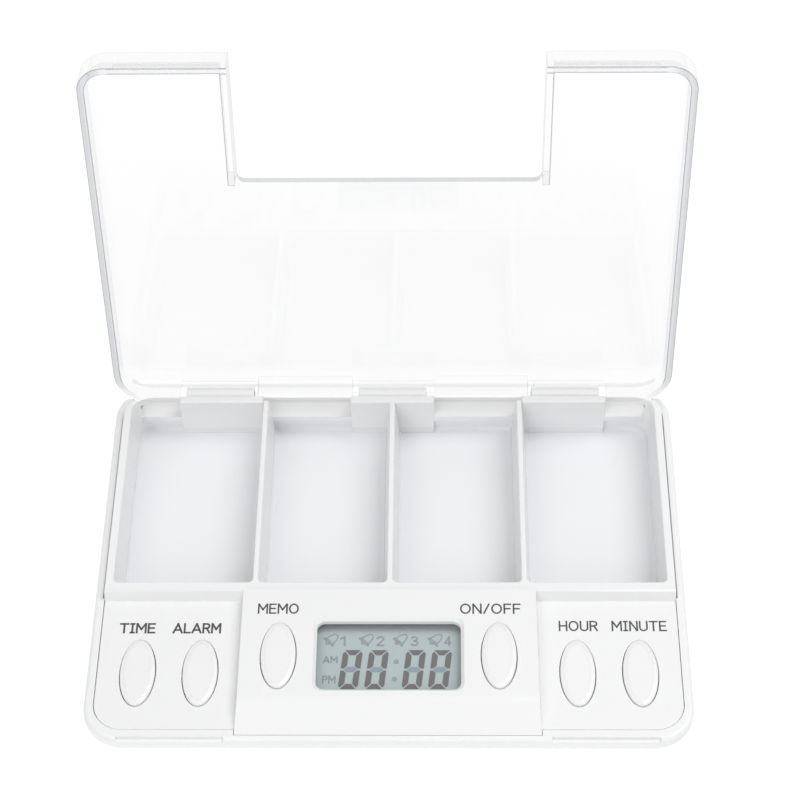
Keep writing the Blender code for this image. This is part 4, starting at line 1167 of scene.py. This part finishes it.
    def close_back(self) -> None:
        """Lower the tray's back wall, and add the lip that closes the gap behind it."""
        self.housing.cut(Solid.block(
            (-self.pocket_half, self.pocket_back - 0.9, RIM - 2.8), (self.pocket_half, OUT, ABOVE)
        ))
        lip = Solid.block(
            (-self.lip_half, self.back - self.lip_front, RIM - 4.3),
            (self.lip_half, self.back + self.lip_back, RIM - 2.85),
        )
        lip.round(upright(lambda end: end.y > self.back), 2.0, 8)
        self.housing.add(lip)

    def add_hinges(self) -> None:
        """Add the three hinge blocks, the knuckles with their sockets, and the two hooks."""
        front, rear = HINGE_Y - 3.4, HINGE_Y - 1.6
        top, corners = level(self.frame_top), upright(lambda end: end.y < front + 0.1)
        for x in (-35.2, 0.0, 35.2):
            block = Solid.block((x - 8.6, front, 4.8), (x + 8.6, rear, self.frame_top))
            block.round(lambda a, b: top(a, b) or corners(a, b), 0.3, 3)
            self.housing.add(block)
        for x in (-35.6, 0.0, 35.6):
            knuckle = Solid.drum(
                (x, HINGE_Y, HINGE_Z), (self.knuckle, self.knuckle), self.knuckle_length, 40, "X"
            )
            knuckle.round(lambda a, b: abs(a.x - b.x) < 0.01 and abs(a.x - x) > 6.9, 0.2, 3)
            self.housing.add(
                Solid.block((x - 6.9, front + 0.8, RIM - 3.7), (x + 6.9, self.back - 0.1, HINGE_Z + 0.75)),
                Solid.block((x - 6.8, rear - 0.5, HINGE_Z - 0.9), (x + 6.8, HINGE_Y, HINGE_Z + 0.9)),
                knuckle,
            )
        for x in (-28.6, -7.0, 7.0, 28.6):
            self.housing.cut(Solid.drum((x, HINGE_Y, HINGE_Z), (0.95, 0.95), 4.4, 24, "X"))
        self.housing.add(*Solid.pair((33.0, self.back - 0.7, 6.4), (39.0, self.back + 2.0, 7.9)))

    def cut_keys(self) -> None:
        """Cut the six oval key holes."""
        wide, long = self.key_hole
        for key in KEYS:
            top = key.top - self.mouth_round
            hole = Solid.drum((key.x, key.y, top - 4.0), self.key_hole, 8.0, 96)
            hole.flare((key.x * MM, key.y * MM, 0.0), 2 * wide, 2 * long, self.mouth_round)
            self.housing.cut(hole)

    def cut_window(self) -> None:
        """Cut the display window with its rounded, chamfered edge."""
        y, half, deep, chamfer = self.window_y, self.window_half, self.window_deep, self.chamfer
        window = Solid.block((-half, y - deep, RIM - 2.5), (half, y + deep, CONSOLE_TOP - chamfer))
        window.round(upright(), 1.6, 10)
        window.select(top_face, faces=True)
        extrude(chamfer, (1 + chamfer / half, 1 + chamfer / deep, 1.0), (0.0, y * MM, 0.0))
        extrude(3)
        bpy.ops.object.mode_set(mode="OBJECT")
        self.housing.cut(window)


@dataclass
class PushKeys:
    """Six oval keys with a soft crown, each on its own body."""

    radii: Pair = (3.3, 7.25)
    skirt_radii: Pair = (4.1, 8.05)
    proud: float = 0.35
    flange_drop: float = 1.8
    skirt: float = 0.6

    def build(self) -> None:
        """Model each key in place of its plain one."""
        for spec in KEYS:
            self.key(spec)

    def key(self, spec: KeySpec) -> None:
        """Model one key: cap, skirt and, where there is room, the stem under it.

        Args:
            spec: the key's place, body and node.
        """
        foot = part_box(spec.node)[0].z / MM
        top, flange = spec.top + self.proud, spec.top - self.flange_drop
        middle = (spec.x, spec.y, (flange + spec.top + self.proud) / 2)
        key = Solid.drum(middle, self.radii, top - flange, 128)
        key.round(level(top), 0.28, 5)
        key.select(top_face, faces=True)
        for _ in range(3):
            bpy.ops.mesh.inset(thickness=0.75 * MM, depth=0.035 * MM)
        bpy.ops.object.mode_set(mode="OBJECT")
        key.add(Solid.drum((spec.x, spec.y, flange - self.skirt / 2), self.skirt_radii, self.skirt, 96))
        if flange - self.skirt > foot + 0.3:
            key.add(Solid.drum((spec.x, spec.y, (foot + flange) / 2), (1.5, 1.5), flange - foot, 32))
        key.weld(dissolve=True)
        piece = key.finish(spec.node + "_cap", KEY)
        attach(piece, spec.rider.value)
        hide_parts(spec.node)


@dataclass
class ClearLid:
    """Clear lid, modelled closed and then turned open on its hinge."""

    width: float = 114.9
    front: float = -41.6
    back: float = 42.3
    rim: float = 13.7
    top: float = 19.8
    wall: float = 1.5
    plate: float = 1.4
    front_corner: float = 5.5
    rear_corner: float = 7.5
    notch_half: float = 29.4
    notch_back: float = -11.7
    barrel: float = 1.3
    peg: float = 0.65
    peg_reach: float = 3.4
    bead_front: float = -42.2
    tongue: float = 0.45
    lid: Solid = field(init=False)

    def build(self) -> None:
        """Model the lid and put it in place of the plain one."""
        self.lid = self.body(0.0, self.rim, self.top)
        self.lid.round(level(self.top), 1.2, 6)
        self.cut_room()
        self.lid.round(level(self.rim), 0.33, 2)
        notch = Solid.block((-self.notch_half, -90.0, 0.0), (self.notch_half, self.notch_back, ABOVE))
        notch.round(upright(lambda end: end.y > -50), 1.5, 6)
        self.lid.cut(notch)
        self.add_hinge()
        self.add_catches()
        self.lid.weld(dissolve=True)
        self.open()
        piece = self.lid.finish("clear_lid", CLEAR)
        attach(piece, Rider.LID.value)
        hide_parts("lid")

    def body(self, inset: float, low: float, high: float) -> Solid:
        """Block with the lid's outline.

        Args:
            inset: how far it is brought in all round.
            low: the height of its underside.
            high: the height of its top.

        Returns:
            The block.
        """
        half, rear = self.width / 2 - inset, self.back - inset
        block = Solid.block((-half, self.front + inset, low), (half, rear, high))
        block.round(upright(lambda end: end.y < 0), self.front_corner - inset, 12)
        block.round(
            upright(lambda end: end.y > rear - 0.1 and abs(end.x) > half - 0.1), self.rear_corner - inset, 12
        )
        return block

    def cut_room(self) -> None:
        """Cut the space inside the lid, but leave the walls beside the notch."""
        room = self.body(self.wall, self.rim - 4.0, self.top - self.plate)
        room.round(level(self.top - self.plate), 0.8, 5)
        near, far = self.notch_half - 0.3, self.notch_half + 1.4
        room.cut(*Solid.pair((near, -OUT, 0.0), (far, self.notch_back - 2.6, ABOVE)))
        self.lid.cut(room)

    def add_hinge(self) -> None:
        """Open the rear wall for the knuckles and add the tabs, barrels and pegs."""
        for low, high in ((-44.3, -28.0), (-8.4, 8.4), (28.0, 44.3)):
            self.lid.cut(Solid.block((low, self.back - 1.8, 5.0), (high, OUT, self.top - self.plate)))
        for low, high in ((-28.0, -8.4), (8.4, 28.0)):
            axis, length = ((low + high) / 2, HINGE_Y, HINGE_Z), high - low
            self.lid.add(
                Solid.block((low, self.back - 3.2, HINGE_Z), (high, self.back - 0.1, self.top - 0.7)),
                Solid.drum(axis, (self.barrel, self.barrel), length, 40, "X"),
                Solid.drum(axis, (self.peg, self.peg), length + self.peg_reach, 24, "X"),
            )

    def add_catches(self) -> None:
        """Add the beads and tongues that click into the rim."""
        edge = self.bead_front
        beads = Solid.pair((30.7, edge, self.rim), (50.1, self.front + 0.75, self.rim + 0.6))
        tongues = Solid.pair((30.7, edge, self.rim - 0.6), (50.1, edge + self.tongue, self.rim + 0.3))
        for bead, tongue in zip(beads, tongues):
            self.lid.add(bead, tongue)

    def open(self) -> None:
        """Turn the mesh open about the hinge axis."""
        axis = Vector((0.0, HINGE_Y * MM, HINGE_Z * MM))
        turn = Matrix.Rotation(-math.radians(OPEN_ANGLE), 4, "X")
        self.lid.item.data.transform(Matrix.Translation(axis) @ turn @ Matrix.Translation(-axis))


def arc(x: float, y: float, wide: float, tall: float, start: float, end: float, steps: int = 12) -> Stroke:
    """Points along part of an ellipse.

    Args:
        x: its middle.
        y: its middle.
        wide: its radius across.
        tall: its radius up.
        start: the angle it starts at, in degrees.
        end: the angle it ends at, in degrees.
        steps: into how many pieces it is split.

    Returns:
        The points.
    """
    angles = [math.radians(start + (end - start) * step / steps) for step in range(steps + 1)]
    return [(x + wide * math.cos(angle), y + tall * math.sin(angle)) for angle in angles]


def stem(x: float) -> Stroke:
    """Upright stroke of a letter."""
    return [(x, 0.0), (x, 1.0)]


def bar(y: float, wide: float) -> Stroke:
    """Level stroke of a letter."""
    return [(0.0, y), (wide, y)]


# Each letter's width and strokes, for a height of 1.
P_BOWL = [(0.0, 1.0), (0.3, 1.0)] + arc(0.3, 0.75, 0.24, 0.25, 90, -90) + [(0.0, 0.5)]
GLYPHS: dict[str, tuple[float, list[Stroke]]] = {
    "A": (0.76, [[(0.0, 0.0), (0.38, 1.0)], [(0.38, 1.0), (0.76, 0.0)], [(0.16, 0.3), (0.6, 0.3)]]),
    "E": (0.5, [stem(0.0), bar(0.0, 0.5), bar(0.52, 0.44), bar(1.0, 0.5)]),
    "F": (0.48, [stem(0.0), bar(0.5, 0.42), bar(1.0, 0.48)]),
    "H": (0.6, [stem(0.0), stem(0.6), bar(0.52, 0.6)]),
    "I": (0.28, [stem(0.14), bar(0.0, 0.28), bar(1.0, 0.28)]),
    "L": (0.48, [stem(0.0), bar(0.0, 0.48)]),
    "M": (0.74, [stem(0.0), [(0.04, 0.98), (0.37, 0.38)], [(0.37, 0.38), (0.7, 0.98)], stem(0.74)]),
    "N": (0.6, [stem(0.0), [(0.03, 0.98), (0.57, 0.02)], stem(0.6)]),
    "O": (0.72, [arc(0.36, 0.5, 0.36, 0.5, 90, 450, 32)]),
    "P": (0.54, [stem(0.0), P_BOWL]),
    "R": (0.56, [stem(0.0), P_BOWL, [(0.3, 0.5), (0.56, 0.0)]]),
    "T": (0.62, [stem(0.31), bar(1.0, 0.62)]),
    "U": (0.6, [[(0.0, 1.0)] + arc(0.3, 0.3, 0.3, 0.3, 180, 360) + [(0.6, 1.0)]]),
    "/": (0.38, [[(0.0, 0.0), (0.38, 1.0)]]),
    "1": (0.24, [[(0.0, 0.78), (0.2, 0.96)], stem(0.24)]),
    "2": (0.5, [arc(0.25, 0.74, 0.25, 0.26, 165, -30, 10) + [(0.02, 0.02)], bar(0.0, 0.5)]),
    "3": (0.5, [arc(0.24, 0.76, 0.22, 0.24, 150, -90, 10), arc(0.24, 0.27, 0.26, 0.27, 90, -150, 10)]),
    "4": (0.54, [stem(0.4), [(0.36, 0.96), (0.0, 0.32)], bar(0.3, 0.54)]),
}


@dataclass
class Pen:
    """Draws flat ink lines of one width, in millimetres."""

    width: float
    thick: float
    foot: float
    spacing: float = 0.24

    def draw(self, strokes: Sequence[Stroke]) -> Solid:
        """Draw lines as one flat piece.

        Args:
            strokes: the points of each line.

        Returns:
            The lines as a mesh.
        """
        deselect()
        curve = bpy.data.curves.new("ink", "CURVE")
        curve.dimensions = "3D"
        curve.bevel_depth = self.width / 2 * MM
        curve.bevel_resolution = 1
        curve.use_fill_caps = True
        for stroke in strokes:
            spline = curve.splines.new("POLY")
            spline.points.add(len(stroke) - 1)
            for point, (x, y) in zip(spline.points, stroke):
                point.co = (x * MM, y * MM, 0.0, 1.0)
        item = bpy.data.objects.new("ink", curve)
        bpy.context.scene.collection.objects.link(item)
        item.select_set(True)
        bpy.context.view_layer.objects.active = item
        bpy.ops.object.convert(target="MESH")
        item = bpy.context.object
        item.scale = (1.0, 1.0, self.thick / self.width)
        item.location = (0.0, 0.0, (self.foot + self.thick / 2) * MM)
        return Solid(item)

    def word(self, text: str, x: float, y: float, wide: float, tall: float) -> Solid:
        """Draw a word that fills a given width and height.

        Args:
            text: what it says.
            x: its middle.
            y: its middle.
            wide: its width.
            tall: its height.

        Returns:
            The word.
        """
        total = sum(GLYPHS[letter][0] for letter in text) + self.spacing * (len(text) - 1)
        across, up = (wide - self.width) / total, tall - self.width
        left, low = x - (wide - self.width) / 2, y - up / 2
        strokes = []
        for letter in text:
            span, lines = GLYPHS[letter]
            for line in lines:
                strokes.append(self.square_off([(left + a * across, low + b * up) for a, b in line]))
            left += (span + self.spacing) * across
        return self.draw(strokes)

    def square_off(self, line: Stroke) -> Stroke:
        """Lengthen both ends of a line by half its width, as a square pen does.

        Args:
            line: its points.

        Returns:
            The lengthened line.
        """
        ends = []
        for (ax, ay), (bx, by) in ((line[0], line[1]), (line[-1], line[-2])):
            reach = self.width / 2 / math.hypot(ax - bx, ay - by)
            ends.append((ax + (ax - bx) * reach, ay + (ay - by) * reach))
        return [ends[0]] + line[1:-1] + [ends[1]]


def print_on(item: bpy.types.Object, name: str, finish: Finish) -> None:
    """Name printed marks, give them their ink and let them ride on the housing.

    Args:
        item: the marks.
        name: their name.
        finish: their ink.
    """
    item.name = name
    finish.dress(item)
    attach(item, Rider.HOUSING.value)


class Side(Enum):
    """Bars of a figure: the form that each has, and whether it is mirrored across and up."""

    TOP = ("level", 1, 1)
    MIDDLE = ("middle", 1, 1)
    BOTTOM = ("level", 1, -1)
    UPPER_LEFT = ("upright", 1, 1)
    UPPER_RIGHT = ("upright", -1, 1)
    LOWER_LEFT = ("upright", 1, -1)
    LOWER_RIGHT = ("upright", -1, -1)


@dataclass
class Display:
    """Figures, words and bells on the display's ground, under the lens."""

    glass_top: float = 13.0
    lift: float = 0.03
    ink: float = 0.05
    slant: float = 0.107
    figures: tuple[float, ...] = (-7.25, -2.29, 4.74, 9.7)
    figure_width: float = 3.73
    figure_height: float = 8.65
    figure_y: float = -26.6
    bar: float = 1.12
    gap: float = 0.25
    nick: float = 0.42
    dots: tuple[Pair, ...] = ((1.4, -24.82), (1.1, -28.72))
    bells: tuple[float, ...] = (-10.95, -4.22, 2.25, 8.87)
    bell_y: float = -19.82
    bell_size: float = 1.13
    bell_turn: float = -45.0
    numbers: tuple[Pair, ...] = ((-8.8, 1.0), (-1.65, 1.5), (4.85, 1.5), (11.2, 1.35))
    number_y: float = -20.2
    number_height: float = 2.23

    def build(self) -> None:
        """Lay the marks on the glass."""
        dark = [self.segment(x, side) for x in self.figures for side in Side if side is not Side.MIDDLE]
        fine, plain, bold = (Pen(width, self.ink, self.foot()) for width in (0.22, 0.25, 0.3))
        height = self.glass_top + self.lift + self.ink / 2
        faint = [Solid.drum((x, y, height), (0.5, 0.5), self.ink, 24) for x, y in self.dots]
        for number, (x, (number_x, wide)) in enumerate(zip(self.bells, self.numbers), 1):
            faint.append(self.bell(fine, x))
            faint.append(bold.word(str(number), number_x, self.number_y, wide, self.number_height))
        faint.append(plain.word("AM", -11.12, -24.4, 2.85, 1.6))
        faint.append(plain.word("PM", -11.25, -28.84, 2.5, 1.75))
        self.join("figures_dark", dark, SEGMENT)
        self.join("figures_bars", [self.segment(x, Side.MIDDLE) for x in self.figures], UNLIT)
        self.join("marks_idle", faint, IDLE)

    def foot(self) -> float:
        """Height of the ink's underside."""
        return self.glass_top + self.lift + self.ink / 2 - self.ink / 2

    def segment(self, x: float, side: Side) -> Solid:
        """One bar of a figure, cut on the slant where it meets the next.

        Args:
            x: the figure's middle.
            side: which bar.

        Returns:
            The bar.
        """
        wide, tall = self.figure_width / 2, self.figure_height / 2
        bar, gap, nick = self.bar, self.gap, self.nick
        inner, end = wide - bar - gap, wide - bar - gap / 4
        form, over, flip = side.value
        outline = {
            "level": ((nick - wide, tall), (wide - nick, tall), (inner, tall - bar), (-inner, tall - bar)),
            "upright": (
                (-wide, tall - 1.8 * nick), (0.83 * nick - wide, tall - 0.83 * nick),
                (bar - wide, tall - bar - 0.6 * gap), (bar - wide, bar / 2 + gap), (bar / 2 - wide, gap),
                (-wide, gap),
            ),
            "middle": (
                (-end - bar / 2, 0.0), (-end, bar / 2), (end, bar / 2), (end + bar / 2, 0.0),
                (end, -bar / 2), (-end, -bar / 2),
            ),
        }[form]
        corners = [(over * across, flip * up) for across, up in outline]
        slanted = [(x + across + up * self.slant, self.figure_y + up) for across, up in corners]
        return Solid.plate(slanted, self.foot(), self.ink)

    def bell(self, pen: Pen, x: float) -> Solid:
        """Bell outline with its mouth to the lower left.

        Args:
            pen: what draws it.
            x: its middle.

        Returns:
            The drawing.
        """
        right = [(1.12, -0.95), (0.82, -0.6), (0.68, 0.1), (0.5, 0.75), (0.2, 1.1)]
        outline = [(-across, up) for across, up in right] + right[::-1]
        clapper = arc(0.0, -1.15, 0.28, 0.24, 180, 360, 6)
        strokes = [outline, [(-1.12, -0.95), (1.12, -0.95)], [(-0.8, -0.62), (0.8, -0.62)], clapper]
        turn = math.radians(self.bell_turn)
        cos, sin = self.bell_size * math.cos(turn), self.bell_size * math.sin(turn)
        return pen.draw([
            [(x + a * cos - b * sin + 0.15, self.bell_y + a * sin + b * cos + 0.1) for a, b in stroke]
            for stroke in strokes
        ])

    def join(self, name: str, pieces: list[Solid], finish: Finish) -> None:
        """Join marks into one piece and set it on the glass.

        Args:
            name: the piece's name.
            pieces: the marks.
            finish: their ink.
        """
        pieces[0].pick()
        for piece in pieces[1:]:
            piece.item.select_set(True)
        bpy.ops.object.join()
        print_on(bpy.context.object, name, finish)


@dataclass
class KeyLabels:
    """Plain function words printed beside the keys."""

    size: float = 2.36
    thick: float = 0.02
    lift: float = 0.01

    def build(self) -> None:
        """Print one word per key."""
        for text, x, y, height, wide, stroke in (
            ("TIME", -48.2, -17.55, RIM, 6.9, 0.38), ("ALARM", -36.8, -17.55, RIM, 9.27, 0.38),
            ("MEMO", -21.2, -14.72, CONSOLE_TOP, 7.84, 0.32),
            ("ON/OFF", 19.3, -14.72, CONSOLE_TOP, 11.57, 0.32),
            ("HOUR", 36.1, -17.0, RIM, 7.46, 0.32), ("MINUTE", 47.7, -17.0, RIM, 10.5, 0.32),
        ):
            label = Pen(stroke, self.thick, height + self.lift).word(text, x, y, wide, self.size)
            print_on(label.item, "label_" + text.lower().replace("/", "_"), LABEL)


@dataclass
class InnerPieces:
    """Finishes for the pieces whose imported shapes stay, by how their names start."""

    finishes: tuple[tuple[Finish, tuple[str, ...]], ...] = (
        (LENS, ("window_lens",)),
        (GROUND, ("display_glass",)),
        (SHELL, ("display_holder", "cell_door")),
        (RUBBER, ("contact_strip", "plunger")),
        (BOARD, ("circuit_board",)),
        (BLACK, ("buzzer", "clock_chip", "switch")),
        (STEEL, ("quartz", "coin_cell", "cell_contact", "door_screw", "housing_screw", "board_screw")),
    )

    def build(self) -> None:
        """Give each remaining node its finish."""
        for name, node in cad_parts.items():
            for finish, starts in self.finishes:
                if name.startswith(starts):
                    finish.dress(node)


@dataclass
class StudioSet:
    """Floor, soft light and the camera at the photograph's viewing angle."""

    place: Point = (9.188, -221.848, 366.103)
    pitch: float = 0.883021
    yaw: float = -0.025480
    roll: float = -0.020916
    focal: float = 2291.2
    frame_width: float = 800.0
    sensor: float = 36.0
    lamp_size: float = 0.8
    lamps: tuple[tuple[str, Point, float], ...] = (
        ("key_lamp", (0.55, 0.25, 1.15), 7.4),
        ("fill_lamp", (-0.5, -0.6, 1.0), 3.0),
        ("front_lamp", (-0.15, -1.2, 0.65), 2.9),
    )

    def build(self) -> None:
        """Set up the floor, the lights and the camera."""
        self.floor()
        self.light()
        self.camera()

    def floor(self) -> None:
        """Lay a plain pale floor."""
        deselect()
        bpy.ops.mesh.primitive_plane_add(size=8.0, location=(0.0, 0.0, -0.0002))
        floor = bpy.context.object
        floor.name = "studio_floor"
        SWEEP.dress(floor)

    def light(self) -> None:
        """Put up a soft white surround and large soft lamps."""
        bpy.context.scene.view_settings.view_transform = "Standard"
        world = bpy.data.worlds.new("surround")
        bpy.context.scene.world = world
        world.use_nodes = True
        ground = world.node_tree.nodes["Background"]
        ground.inputs["Color"].default_value = (1.0, 1.0, 1.0, 1.0)
        ground.inputs["Strength"].default_value = 0.5
        for name, place, power in self.lamps:
            lamp = bpy.data.lights.new(name, "AREA")
            lamp.shape = "SQUARE"
            lamp.size = self.lamp_size
            lamp.energy = power
            item = bpy.data.objects.new(name, lamp)
            bpy.context.scene.collection.objects.link(item)
            item.location = place
            aim = Vector((0.0, 0.0, 0.01)) - Vector(place)
            item.rotation_euler = aim.to_track_quat("-Z", "Y").to_euler()

    def camera(self) -> None:
        """Place the camera that was fitted to the photograph."""
        sin, cos = math.sin, math.cos
        view = Vector((sin(self.yaw) * cos(self.pitch), cos(self.yaw) * cos(self.pitch), -sin(self.pitch)))
        across = Vector((cos(self.yaw), -sin(self.yaw), 0.0))
        above = across.cross(view)
        right = cos(self.roll) * across + sin(self.roll) * above
        up = -sin(self.roll) * across + cos(self.roll) * above
        data = bpy.data.cameras.new("camera")
        data.sensor_width = self.sensor
        data.lens = self.focal / self.frame_width * self.sensor
        data.clip_start = 0.01
        data.clip_end = 20.0
        item = bpy.data.objects.new("camera", data)
        bpy.context.scene.collection.objects.link(item)
        turn = Matrix((right, up, -view)).transposed().to_4x4()
        spot = Vector((self.place[0], self.place[1] + PANEL_FRONT, self.place[2] + RIM)) * MM
        item.matrix_world = Matrix.Translation(spot) @ turn
        bpy.context.scene.camera = item


def main() -> None:
    """Build each sub-assembly in order and report it."""
    logging.basicConfig(level=logging.INFO, format="%(name)s: %(message)s")
    for part in (BaseShell(), TopHousing(), PushKeys(), ClearLid(), Display(), KeyLabels(), InnerPieces()):
        part.build()
        LOG.info("built %s", type(part).__name__)
    StudioSet().build()


if __name__ == "__main__":
    main()
